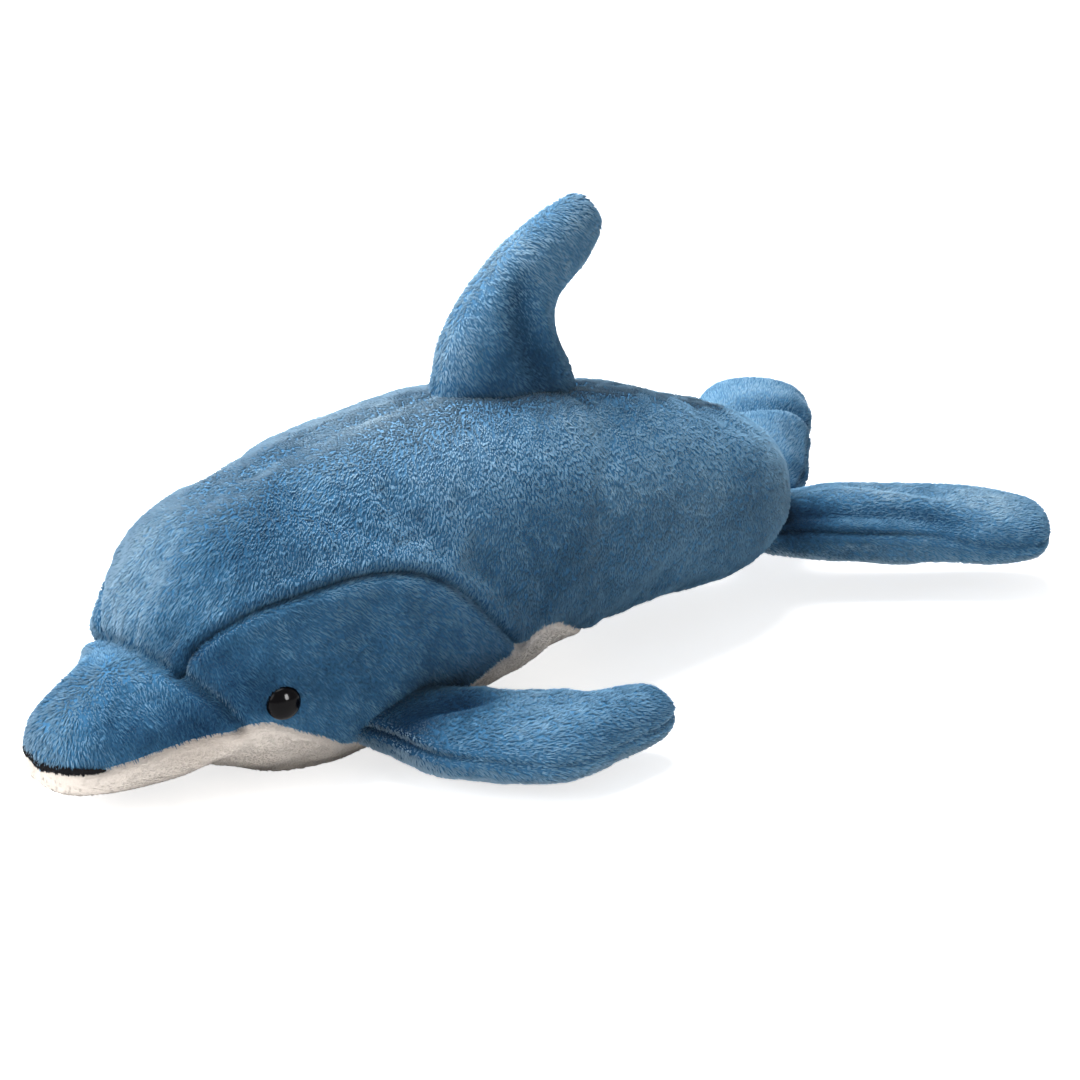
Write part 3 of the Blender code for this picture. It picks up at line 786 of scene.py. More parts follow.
class FinForm(Form):
    """A stuffed fin through ribs. Its chord runs along X at the root where it is mitred."""

    # how steeply the tip closes, in the last half width for each rib, and over how many ribs from
    # the root the mitre fades out
    tip_bluntness: int = 3
    mitre_reach: float = 1.6

    def __init__(self, ribs: tuple[Rib, ...], up: tuple[float, float, float], mitred: bool = False) -> None:
        """Makes one curve for each column of the rib table.

        Args:
            ribs: The fin's sections from the root to the tip.
            up: The direction of its thickness.
            mitred: Whether the root lies in the plane of symmetry.
        """
        self.last = float(len(ribs) - 1)
        self.up = np.array(up, float)
        self.mitred = mitred
        self.path = [Curve([getattr(r, axis) for r in ribs]) for axis in ("x", "y", "z")]
        self.chord, self.thick = (
            Curve(column, end=-self.tip_bluntness * column[-2])
            for column in ([r.half_chord for r in ribs], [r.half_thickness for r in ribs])
        )

    def centre(self, u: np.ndarray) -> np.ndarray:
        """Returns the line through the ribs' centres, in millimetres."""
        return np.stack([axis(u) for axis in self.path], -1)

    def axes(self, u: np.ndarray) -> tuple[np.ndarray, np.ndarray, np.ndarray]:
        """Returns the directions of the path, the chord and the thickness."""
        ahead, behind = np.minimum(u + FRAME_STEP, self.last), np.maximum(u - FRAME_STEP, 0.0)
        along = unit(self.centre(ahead) - self.centre(behind))
        side = unit(np.cross(along, self.up))
        return along, side, np.cross(side, along)

    def point(self, u: np.ndarray, angle: np.ndarray) -> np.ndarray:
        """Returns the fin's points in the frame, in metres."""
        along, side, up = self.axes(u)
        sine, cosine = rounded(np.sin(np.radians(angle))), rounded(np.cos(np.radians(angle)))
        place = self.centre(u) + up * (self.thick(u) * sine)[..., None]
        if self.mitred:
            bend = np.clip(1 - u / self.mitre_reach, 0.0, 1.0)
            bend = bend * bend * (3 - 2 * bend)
            shear = -side[..., 1] / along[..., 1]
            side = side + along * (shear * bend)[..., None]
        return (place + side * (self.chord(u) * cosine)[..., None]) * MM + PATTERN_SHIFT

    def normal(self, u: np.ndarray, angle: np.ndarray) -> np.ndarray:
        """Returns the outward directions, along the path at the tip."""
        normal = super().normal(u, angle)
        return np.where((u >= self.last)[..., None], self.axes(u)[0], normal)


def fluke_ribs(side: int) -> tuple[Rib, ...]:
    """Works out one fluke's ribs.

    Args:
        side: -1 for the left fluke and 1 for the right one.

    Returns:
        The ribs from the root to the tip.
    """
    rise = FLUKE_RIGHT_RISE if side > 0 else FLUKE_LEFT_RISE
    reach = (FLUKE_LENGTH * math.sin(FLUKE_SWEEP), side * FLUKE_LENGTH * math.cos(FLUKE_SWEEP), rise)
    root = (FLUKE_ROOT[0], side * FLUKE_ROOT[1], FLUKE_ROOT[2])
    return tuple(
        Rib(*(r + share * w for r, w in zip(root, reach)), chord, thick)
        for share, chord, thick in FLUKE_SHARES
    )


@dataclass
class Groove:
    """A sewn seam or a fold: a line on the surface that the fabric dips into.

    The depth is one number, or one for each point of the line. bare is how far from the line the pile is
    missing, and dark how much painted shade the hollow takes: the shadow's colour on the backing and a
    darker tone on the pile.
    """

    line: np.ndarray
    depth: np.ndarray
    width: float
    bare: float = 0.0
    dark: float = 0.6

    def __post_init__(self) -> None:
        """Prepares the search for the nearest point of the line."""
        self.depth = np.broadcast_to(np.asarray(self.depth, float), (len(self.line),))
        self.tree = search_tree(self.line)

    def nearest(self, points: np.ndarray) -> tuple[np.ndarray, np.ndarray]:
        """Returns each point's distance to the line and the line's depth there."""
        found = [self.tree.find(p)[1:] for p in points]
        index = np.array([f[0] for f in found])
        return np.array([f[1] for f in found]), self.depth[index]


@dataclass(frozen=True)
class PileRule:
    """How the pile of one panel grows: sizes in metres, the nap as a direction that the tufts lean to."""

    name: str
    panel: Panel
    nap: tuple[float, float, float]
    fibre: str
    slot: str
    seed: int
    length: float = 1.8 * MM
    width: float = 0.74 * MM
    per_square_mm: float = 1.4
    upright: float = 0.62
    clump: float = 0.32
    relief: float = 0.26


class PileCoat:
    """Geometry Nodes that plant flattened spikes, one for each tuft of pile, all over a panel."""

    kinds: dict[str, str] = {
        "Panel": "Int",
        "Nap": "Vector",
        "Length": "Float",
        "Width": "Float",
        "Tufts per square metre": "Float",
        "Upright": "Float",
        "Clump": "Float",
        "Relief": "Float",
        "Seed": "Int",
        "Material": "Material",
    }
    # what the tree and the ground leave on a mesh that a finished piece doesn't need
    spare: tuple[str, ...] = (
        "tone_and_painted_light",
        "hollow",
        "pile_length",
        "pile_density",
        "panel",
        "to_tip",
        "shade",
        "ground",
    )
    clump_size: float = 5.5 * MM
    swirl: float = 2.4
    # the least that a tuft rises from its own ground, as a share of its direction
    least_rise: float = 0.28
    # a spike is broader than thick, with a flat side out
    spike_form: tuple[float, float, float] = (1.15, 0.7, 1.0)
    # how much a tuft's length, width and shade vary, and its length and shade with its clump's noise
    lengths: tuple[float, float] = (0.5, 0.9)
    clump_length: float = 0.6
    widths: tuple[float, float] = (0.7, 1.25)
    shades: tuple[float, float] = (-0.07, 0.07)
    clump_shade: float = 0.5

    def __init__(self) -> None:
        """Builds the tree with its named inputs."""
        self.graph, self.names = new_geometry_tree("Pile coat", self.kinds)
        given = self.graph.add("NodeGroupInput").outputs
        place = self.graph.get("Position", "GeometryNodeInputPosition")
        inputs = {"Vector": place, "Scale": 1 / self.clump_size, "Detail": 1.5, "Roughness": 0.6}
        clumps = self.graph.add("ShaderNodeTexNoise", inputs).outputs
        points = self._points(given)
        normal = points["Normal"]
        turn = self._turn(given, normal, clumps["Color"])
        marked = self.graph.store(points["Points"], "shade", self._shade(clumps["Fac"]))
        marked = self.graph.store(marked, "ground", normal, "FLOAT_VECTOR")
        planted = self.graph.get(
            "Instances",
            "GeometryNodeInstanceOnPoints",
            {
                "Points": marked,
                "Instance": self._spike(place),
                "Rotation": turn,
                "Scale": self._size(given, clumps["Fac"]),
            },
        )
        self._finish(given, planted)

    def _points(self, given) -> bpy.types.NodeOutputs:
        """Scatters the tufts' places over the panel."""
        graph = self.graph
        inputs = {2: graph.attribute("panel", "INT"), 3: given["Panel"]}
        on_panel = graph.get("Result", "FunctionNodeCompare", inputs, data_type="INT", operation="EQUAL")
        density = graph.math("MULTIPLY", graph.attribute("pile_density"), given["Tufts per square metre"])
        density = graph.math("MULTIPLY", density, on_panel)
        inputs = {"Mesh": given["Geometry"], "Density": density, "Seed": given["Seed"]}
        kind = "GeometryNodeDistributePointsOnFaces"
        return graph.add(kind, inputs, distribute_method="RANDOM").outputs

    def _turn(self, given, normal, colour) -> bpy.types.NodeSocket:
        """Turns each tuft along the nap, upright as far as the rule says and swirled with its clump."""
        graph = self.graph
        swirl = graph.scaled(graph.vector("SUBTRACT", colour, (0.5, 0.5, 0.5)), self.swirl)
        slide = graph.scaled(normal, graph.vector("DOT_PRODUCT", given["Nap"], normal, output="Value"))
        lean = graph.vector("NORMALIZE", graph.vector("SUBTRACT", given["Nap"], slide))
        way = graph.vector("ADD", lean, graph.scaled(normal, given["Upright"]))
        way = graph.vector("NORMALIZE", graph.vector("ADD", way, graph.scaled(swirl, given["Clump"])))
        rise = graph.vector("DOT_PRODUCT", way, normal, output="Value")
        lift = graph.math("MAXIMUM", graph.math("SUBTRACT", self.least_rise, rise), 0.0)
        way = graph.vector("NORMALIZE", graph.vector("ADD", way, graph.scaled(normal, lift)))
        inputs = {0: way, 1: graph.vector("CROSS_PRODUCT", way, normal)}
        kind = "FunctionNodeAxesToRotation"
        return graph.get("Rotation", kind, inputs, primary_axis="Z", secondary_axis="X")

    def _spike(self, place) -> bpy.types.NodeSocket:
        """Builds one tuft of a height of 1, which knows how far it is to its tip."""
        graph = self.graph
        inputs = {"Vertices": 3, "Side Segments": 1, "Fill Segments": 1}
        inputs |= {"Radius Top": 0.0, "Radius Bottom": 0.5, "Depth": 1.0}
        spike = graph.get("Mesh", "GeometryNodeMeshCone", inputs, fill_type="NGON")
        inputs = {"Geometry": spike, "Rotation": (0.0, 0.0, math.radians(90.0)), "Scale": self.spike_form}
        spike = graph.get("Geometry", "GeometryNodeTransform", inputs)
        height = graph.get("Z", "ShaderNodeSeparateXYZ", {"Vector": place})
        spike = graph.store(spike, "to_tip", height)
        inputs = {"Geometry": spike, "Shade Smooth": True}
        return graph.get("Geometry", "GeometryNodeSetShadeSmooth", inputs)

    def _size(self, given, clump) -> bpy.types.NodeSocket:
        """Returns each tuft's width and length."""
        graph = self.graph
        clump = graph.math("MULTIPLY", clump, self.clump_length)
        vary = graph.math("ADD", graph.random(*self.lengths, 3), clump)
        length = graph.math("MULTIPLY", given["Length"], graph.attribute("pile_length"))
        width = graph.math("MULTIPLY", given["Width"], graph.random(*self.widths, 4))
        return graph.triple(width, width, graph.math("MULTIPLY", length, vary))

    def _shade(self, clump) -> bpy.types.NodeSocket:
        """Returns each tuft's shade: the ground's tone with its painted light and shade, its clump's and
        its own.
        """
        graph = self.graph
        clump = graph.math("MULTIPLY", graph.math("SUBTRACT", clump, 0.5), self.clump_shade)
        own = graph.math("ADD", graph.random(*self.shades, 5), clump)
        shade = graph.math("ADD", graph.attribute("tone_and_painted_light"), own)
        return graph.get(0, "ShaderNodeClamp", {"Value": shade, "Min": 0.02, "Max": 0.98})

    def _finish(self, given, planted) -> None:
        """Makes the tufts real, writes their UV map, softens their light and gives them their material."""
        graph = self.graph
        real = graph.get("Geometry", "GeometryNodeRealizeInstances", {"Geometry": planted})
        across = graph.triple(graph.attribute("to_tip"), graph.attribute("shade"), 0.0)
        mapped = graph.store(real, "OFBake", across, "FLOAT2", "CORNER")
        # light falls on the pile as on the ground below it, with a little of each tuft's own relief
        inputs = {"Value": graph.get("Normal", "GeometryNodeInputNormal")}
        kind = "GeometryNodeFieldOnDomain"
        own = graph.get("Value", kind, inputs, data_type="FLOAT_VECTOR", domain="FACE")
        ground = graph.attribute("ground", "FLOAT_VECTOR")
        facing = graph.vector("DOT_PRODUCT", ground, own, output="Value")
        turned_away = graph.math("MAXIMUM", graph.math("MULTIPLY", facing, -1.0), 0.0)
        share = graph.math("ADD", turned_away, given["Relief"])
        soft = graph.vector("NORMALIZE", graph.vector("ADD", ground, graph.scaled(own, share)))
        inputs = {"Mesh": mapped, "Custom Normal": soft}
        softened = graph.get("Mesh", "GeometryNodeSetMeshNormal", inputs, mode="FREE", domain="CORNER")
        inputs = {"Geometry": softened, "Material": given["Material"]}
        finished = graph.get("Geometry", "GeometryNodeSetMaterial", inputs)
        graph.add("NodeGroupOutput", {"Geometry": finished})

    def grow(self, ground: bpy.types.Object, rule: PileRule, material: bpy.types.Material) -> None:
        """Plants one panel's tufts and turns them into a plain mesh, a piece of its own.

        Args:
            ground: The padded piece that carries the panel.
            rule: How this panel's pile grows.
            material: The pile's material.
        """
        values = {
            "Panel": rule.panel.value,
            "Nap": rule.nap,
            "Length": rule.length,
            "Width": rule.width,
            "Tufts per square metre": rule.per_square_mm * 1e6,
            "Upright": rule.upright,
            "Clump": rule.clump,
            "Relief": rule.relief,
            "Seed": rule.seed,
            "Material": material,
        }
        mesh = dressed(ground, self.graph.tree, self.names, values)
        for name in self.spare:
            layer = mesh.attributes.get(name)
            if layer is not None:
                mesh.attributes.remove(layer)
        piece = shown(rule.name, mesh)
        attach(piece, BODY)
        report(rule.name, mesh)


@dataclass
class StuffedPiece:
    """A sewn and stuffed form: its fabric ground with seams and folds, ready for its pile."""

    name: str
    form: Form
    replaced: tuple[str, ...]
    slot: str
    grooves: list[Groove] = field(default_factory=list)
    painted_light: tuple[PaintedLightPatch, ...] = ()
    inset: float = 1.3 * MM
    lump: float = 0.5 * MM
    lump_size: float = 26.0 * MM
    base_tone: float = 0.5
    fill: float = 0.8
    seed: float = 0.0

    def grid(self) -> tuple[np.ndarray, np.ndarray, np.ndarray, bool]:
        """Returns the grid's u, its angles, each cell's panel and whether the first row needs a cap."""
        raise NotImplementedError

    def ground(self) -> bpy.types.Object:
        """Builds the closed ground with its attributes.

        Returns:
            The ground as an object.
        """
        u, angle, panels, capped = self.grid()
        place, normal = self.form.point(u, angle), self.form.normal(u, angle)
        columns = u.shape[1]
        flat, out = place.reshape(-1, 3), normal.reshape(-1, 3)
        away = np.full(len(flat), -self.inset)
        away += self.lump * self.noise_at(flat, self.lump_size)
        for groove in self.grooves:
            distance, depth = groove.nearest(flat)
            away -= depth * bell(distance, groove.width)
            beside = distance - WELT_OFFSET * groove.width
            away += WELT_HEIGHT * depth * bell(beside, WELT_WIDTH * groove.width)
        moved = flat + out * away[:, None]
        moved += out * self.swell(moved, out, columns, capped)[:, None]
        # the weight presses the underside's pile flat on the floor
        underside = bell(flat[:, 2], REST_BLEND) * (out[:, 2] < 0)
        moved[:, 2] = np.maximum(moved[:, 2] - REST_PRESS * self.inset * underside, REST_CLEARANCE)
        mesh = self.skin(self.name, moved, columns, capped)
        marks = [int(mark) for mark in panels.ravel()] + [-1] * (len(mesh.polygons) - panels.size)
        mesh.attributes.new("panel", "INT", "FACE").data.foreach_set("value", marks)
        mesh.polygons.foreach_set("material_index", [1 if m == Panel.BELLY.value else 0 for m in marks])
        work = bmesh.new()
        work.from_mesh(mesh)
        bmesh.ops.remove_doubles(work, verts=work.verts, dist=JOIN_DISTANCE)
        bmesh.ops.dissolve_degenerate(work, edges=work.edges, dist=SHORTEST_EDGE)
        bmesh.ops.recalc_face_normals(work, faces=work.faces)
        work.to_mesh(mesh)
        work.free()
        mesh.shade_smooth()
        self.mark(mesh)
        return shown(self.name, mesh)

    @staticmethod
    def skin(name: str, points: np.ndarray, columns: int, capped: bool) -> bpy.types.Mesh:
        """Joins rows of points into a closed skin.

        Args:
            name: The mesh's name.
            points: The points, row after row.
            columns: How many points are in a row.
            capped: Whether the first row is closed with a fan.

        Returns:
            The mesh, whose faces follow the rows and then the fan.
        """
        rows = len(points) // columns
        faces = []
        for i in range(rows - 1):
            for j in range(columns):
                k = (j + 1) % columns
                here, there = i * columns, (i + 1) * columns
                faces.append((here + j, there + j, there + k, here + k))
        places = [tuple(p) for p in points]
        if capped:
            places.append(tuple(points[:columns].mean(axis=0)))
            faces += [(len(points), j, (j + 1) % columns) for j in range(columns)]
        mesh = bpy.data.meshes.new(name)
        mesh.from_pydata(places, [], faces)
        return mesh

    def swell(self, points: np.ndarray, out: np.ndarray, columns: int, capped: bool) -> np.ndarray:
        """Fills a coarse copy of the skin with air as cloth, while its seams are held.

        Args:
            points: The skin's points.
            out: Their outward directions.
            columns: How many points are in a row.
            capped: Whether the first row is closed.

        Returns:
            How far each point moves outwards, about an average of nothing.
        """
        source = shown(f"{self.name}_source", self.skin(f"{self.name}_source", points, columns, capped))
        remesh = source.modifiers.new("even cells", "REMESH")
        remesh.mode = "VOXEL"
        remesh.voxel_size = CLOTH_CELL
        graph = bpy.context.evaluated_depsgraph_get()
        cloth = shown(f"{self.name}_cloth", bpy.data.meshes.new_from_object(source.evaluated_get(graph)))
        start = vertex_places(cloth.data)
        end = self.simulate(cloth, self.hold(start))
        tree = search_tree(start)
        moves = np.zeros(len(points))
        for k, (place, way) in enumerate(zip(points, out)):
            found = tree.find_n(place, CLOTH_NEIGHBOURS)
            weights = np.array([1 / (f[2] + CLOTH_SOFTENING) for f in found])
            step = sum(w * (end[f[1]] - start[f[1]]) for w, f in zip(weights, found)) / weights.sum()
            moves[k] = step @ way
        for item in (source, cloth):
            bpy.data.meshes.remove(item.data)
        log.info("%s: swelled from %.1f to %.1f mm", self.name, moves.min() / MM, moves.max() / MM)
        return np.clip(moves - np.median(moves), -MOST_SWELL, MOST_SWELL)

    def hold(self, places: np.ndarray) -> np.ndarray:
        """Returns how firmly the cloth is held at each place: at its seams and where it rests."""
        hold = np.zeros(len(places))
        for groove in self.grooves:
            distance, depth = groove.nearest(places)
            hold = np.maximum(hold, bell(distance, CLOTH_HOLD) * np.clip(depth / MM, 0, 1))
        hold[places[:, 2] < CLOTH_CELL] = 1.0
        return hold

    @staticmethod
    def simulate(cloth: bpy.types.Object, hold: np.ndarray) -> np.ndarray:
        """Runs the cloth simulation.

        Args:
            cloth: The closed cloth.
            hold: How firmly each of its vertices is held, from 0 to 1.

        Returns:
            Where each vertex ends.
        """
        held = cloth.vertex_groups.new(name="held")
        for k, weight in enumerate(hold):
            held.add([k], float(weight), "REPLACE")
        fabric = cloth.modifiers.new("fabric", "CLOTH")
        fabric.settings.use_pressure = True
        fabric.settings.uniform_pressure_force = CLOTH_PRESSURE
        fabric.settings.effector_weights.gravity = 0.0
        fabric.settings.shrink_min = -CLOTH_EXCESS
        fabric.settings.vertex_group_mass = "held"
        fabric.point_cache.frame_start, fabric.point_cache.frame_end = 1, CLOTH_FRAMES
        scene = bpy.context.scene
        for moment in range(1, CLOTH_FRAMES + 1):
            scene.frame_set(moment)
        filled = cloth.evaluated_get(bpy.context.evaluated_depsgraph_get())
        end = vertex_places(filled.to_mesh())
        filled.to_mesh_clear()
        scene.frame_set(1)
        return end

    def noise_at(self, points: np.ndarray, size: float) -> np.ndarray:
        """Returns smooth noise from -1 to 1 with bumps of about the given size."""
        shift = Vector((self.seed, 2 * self.seed, 0.0))
        return np.array([noise.noise(Vector(p) / size + shift) for p in points])

    def mark(self, mesh: bpy.types.Mesh) -> None:
        """Writes the attributes that the backing's and the pile's finishes read, with the painted light and
        shade of the patches and of the seams.
        """
        place = vertex_places(mesh)
        tone_and_painted_light = self.base_tone
        for amount, size in TONE_NOISE:
            tone_and_painted_light = tone_and_painted_light + amount * self.noise_at(place, size)
        # painted light and shade: the tone is deeper or paler where each patch lies
        for light_patch in self.painted_light:
            away = np.linalg.norm(place - np.array(light_patch.centre) * MM, axis=1)
            tone_and_painted_light += light_patch.amount * bell(away, light_patch.radius * MM)
        density, length, hollow = np.ones(len(place)), np.ones(len(place)), np.zeros(len(place))
        for groove in self.grooves:
            distance, depth = groove.nearest(place)
            near = bell(distance, groove.width * SEAM_SPREAD) * np.clip(depth / FULL_SEAM, 0, 1)
            # painted shade in seams and folds: the backing's hollow shade and a darker pile tone
            hollow = np.maximum(hollow, near * groove.dark)
            tone_and_painted_light -= SEAM_PAINTED_SHADE * near * groove.dark
            length *= 1 - SEAM_CUT * near
            if groove.bare > 0:
                density *= np.clip((distance - groove.bare) / BARE_FADE, 0.0, 1.0)
        self.adjust(place, density)
        marks = {"tone_and_painted_light": tone_and_painted_light, "hollow": hollow, "pile_density": density, "pile_length": length}
        for name, values in marks.items():
            mesh.attributes.new(name, "FLOAT", "POINT").data.foreach_set("value", values.astype(np.float32))

    def adjust(self, place: np.ndarray, density: np.ndarray) -> None:
        """Changes the pile's density, in place, where a piece has something of its own."""

    def finish(self, ground: bpy.types.Object, materials: list[bpy.types.Material]) -> None:
        """Gives the ground its materials and its place in the frame."""
        for material in materials:
            ground.data.materials.append(material)
        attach(ground, BODY)
        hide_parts(*self.replaced)
        report(self.name, ground.data)


@dataclass
class StuffedBody(StuffedPiece):
    """The body: beak, cheeks, back and belly in one closed stuffed skin."""

    row_step: float = 2.3 * MM
    belly_columns: int = 44
    cheek_columns: int = 24
    back_columns: int = 44
    eye_places: tuple = ()
    eye_radius: float = 6.0 * MM
    rest_height: float = 1.0 * MM
    # the pile is missing under each bead, in its radii, and comes back over a short distance
    eye_bare: float = 0.72
    eye_fade: float = 0.8 * MM
    # the chin's pile is worn thin: how far back and how high that reaches, and what is left
    chin_end: float = -200.0 * MM
    chin_height: float = 19.5 * MM
    chin_pile: float = 0.35
    # the rows that are added beside the beak's crease, and how closely they gather there
    crease_rows: int = 3
    crease_pull: float = 1.7

    def rows(self) -> np.ndarray:
        """Returns the rows' u, closer together at the beak's crease."""
        rows = [0.0]
        for t in range(TAIL_END):
            fine = np.linspace(t, t + 1, 9)
            longest = max(
                np.linalg.norm(np.diff(self.form.point(fine, np.full(9, a)), axis=0), axis=1).sum()
                for a in (0.0, 90.0, -90.0)
            )
            count = max(2, math.ceil(longest / self.row_step))
            share = np.linspace(0.0, 1.0, count + 1)
            gathered = np.linspace(0.0, 1.0, count + 1 + self.crease_rows)
            if t == BEAK_SEAM - 1:
                share = 1 - (1 - gathered) ** self.crease_pull
            if t == BEAK_SEAM:
                share = gathered**self.crease_pull
            rows.extend(t + share[1:])
        return np.array(rows)

    def grid(self) -> tuple[np.ndarray, np.ndarray, np.ndarray, bool]:
        """Returns the grid's u, its angles, each cell's panel and that no cap is needed."""
        rows = self.rows()
        edges = self.form.edges(rows)
        round_it = (
            (Panel.BELLY, self.belly_columns),
            (Panel.CHEEK_LEFT, self.cheek_columns),
            (Panel.BACK_LEFT, self.back_columns),
            (Panel.BACK_RIGHT, self.back_columns),
            (Panel.CHEEK_RIGHT, self.cheek_columns),
        )
        angles, marks = [], []
        for low, high, (kind, count) in zip(edges[:-1], edges[1:], round_it):
            share = clustered(count)[:-1]
            angles.append(low[:, None] + (high - low)[:, None] * share[None, :])
            marks.extend([kind.value] * count)
        angle = np.hstack(angles)
        u = rows[:, None] * np.ones_like(angle)
        panels = np.tile(np.array(marks), (len(rows) - 1, 1))
        on_beak = (rows[:-1] < BEAK_SEAM)[:, None] & (panels != Panel.BELLY.value)
        return u, angle, np.where(on_beak, Panel.BEAK.value, panels), False

    def adjust(self, place: np.ndarray, density: np.ndarray) -> None:
        """Leaves no pile under the beads and where the toy rests, and little on the chin."""
        density *= np.where(place[:, 2] < self.rest_height, 0.0, 1.0)
        chin = (place[:, 0] < self.chin_end) & (place[:, 2] < self.chin_height)
        density *= np.where(chin, self.chin_pile, 1.0)
        for eye in self.eye_places:
            away = np.linalg.norm(place - eye, axis=1)
            density *= np.clip((away - self.eye_bare * self.eye_radius) / self.eye_fade, 0.0, 1.0)


@dataclass
class StuffedFin(StuffedPiece):
    """A fin or fluke: two panels sewn edge to edge, stuffed and set on the body."""

    row_step: float = 2.2 * MM
    columns: int = 34
    sink: float = 0.8 * MM
    # how much closer the rows stand towards the round tip, and how many more there are at its end
    tip_pull: float = 0.12
    tip_rows: int = 5
    body: BVHTree | None = None

    def seat(self, angle: np.ndarray) -> np.ndarray:
        """Finds where each column of the fin comes out of the body.

        Args:
            angle: The columns' angles.

        Returns:
            The u of each column's first row.
        """
        samples = np.linspace(0.0, 0.5 * self.form.last, 90)
        start = np.zeros(len(angle))
        for j, a in enumerate(angle):
            for u, p in zip(samples, self.form.point(samples, np.full(len(samples), a))):
                near, normal, _, _ = self.body.find_nearest(p)
                if (Vector(p) - near).dot(normal) < -self.sink:
                    start[j] = u
        for _ in range(3):
            start = (np.roll(start, 1) + 2 * start + np.roll(start, -1)) / 4
        return start

    def grid(self) -> tuple[np.ndarray, np.ndarray, np.ndarray, bool]:
        """Returns the grid's u, its angles, each cell's panel and that the root needs a cap."""
        half = clustered(self.columns, 0.6)[:-1] * 180
        angle = np.concatenate([half, 180 + half])
        fine = np.linspace(0.0, self.form.last, 60)
        way = walked(self.form.centre(fine)) * MM
        count = math.ceil(way[-1] / self.row_step)
        even = np.linspace(0.0, 1.0, count + 1)
        even = even + self.tip_pull * np.sin(np.pi * even) * even
        share = np.interp(np.minimum(even, 1.0) * way[-1], way, fine) / self.form.last
        tip = 1 - (1 - share[-2]) * (1 - np.linspace(0.0, 1.0, self.tip_rows + 2)[1:-1]) ** 2
        share = np.concatenate([share[:-1], tip, [1.0]])
        start = self.seat(angle)
        u = start[None, :] + (self.form.last - start[None, :]) * share[:, None]
        u = np.minimum(u, self.form.last)
        angles = angle[None, :] * np.ones_like(u)
        marks = np.where(angle < 180, Panel.FIN_FIRST.value, Panel.FIN_SECOND.value)
        return u, angles, np.tile(marks, (len(share) - 1, 1)), True


def turned(
    name: str, profile: list[tuple[float, float]], place: Vector, axis: Vector, sides: int
) -> bpy.types.Mesh:
    """Turns an outline round an axis.

    Args:
        name: The mesh's name.
        profile: Radius and height from the crown to the foot; a radius of 0 closes an end.
        place: Where the axis starts.
        axis: The axis.
        sides: How many facets round it.

    Returns:
        The closed mesh.
    """
    turn = Vector((0.0, 0.0, 1.0)).rotation_difference(axis)
    work = bmesh.new()
    rings = []
    for radius, height in profile:
        ring = []
        for k in range(sides if radius > 0 else 1):
            bearing = 2 * math.pi * k / sides
            local = Vector((radius * math.cos(bearing), radius * math.sin(bearing), height))
            ring.append(work.verts.new(turn @ local + place))
        rings.append(ring)
    for one, two in zip(rings[:-1], rings[1:]):
        for k in range(sides):
            n = (k + 1) % sides
            corners = [one[k % len(one)], two[k % len(two)], two[n % len(two)], one[n % len(one)]]
            work.faces.new(list(dict.fromkeys(corners)))
    bmesh.ops.recalc_face_normals(work, faces=work.faces)
    mesh = bpy.data.meshes.new(name)
    work.to_mesh(mesh)
    work.free()
    mesh.shade_smooth()
    return mesh


@dataclass(frozen=True)
class SafetyEye:
    """A domed bead on a shank through the cheek."""

    name: str
    seat: Vector
    axis: Vector
    replaced: str
    radius: float = 6.0 * MM
    height: float = 4.6 * MM
    rim: float = 0.8 * MM
    sink: float = 1.2 * MM
    shank_radius: float = 2.0 * MM
    shank_length: float = 8.0 * MM
    sides: int = 64
    dome_rings: int = 13
    sharp_angle: float = 50.0

    def build(self, material: bpy.types.Material) -> None:
        """Builds the bead and puts it in its CAD node's place."""
        outline = []
        for step in range(self.dome_rings):
            turn = math.radians(90.0 / (self.dome_rings - 1) * step)
            height = self.rim + (self.height - self.rim) * math.cos(turn)
            outline.append((self.radius * math.sin(turn), height))
        outline += [
            (self.radius, 0.3 * self.rim),
            (0.96 * self.radius, 0.0),
            (self.shank_radius, 0.0),
            (self.shank_radius, -self.shank_length),
            (0.0, -self.shank_length),
        ]
        mesh = turned(self.name, outline, self.seat - self.axis * self.sink, self.axis, self.sides)
        mesh.set_sharp_from_angle(angle=math.radians(self.sharp_angle))
        piece = shown(self.name, mesh)
        piece.data.materials.append(material)
        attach(piece, BODY)
        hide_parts(self.replaced)
        report(self.name, mesh)


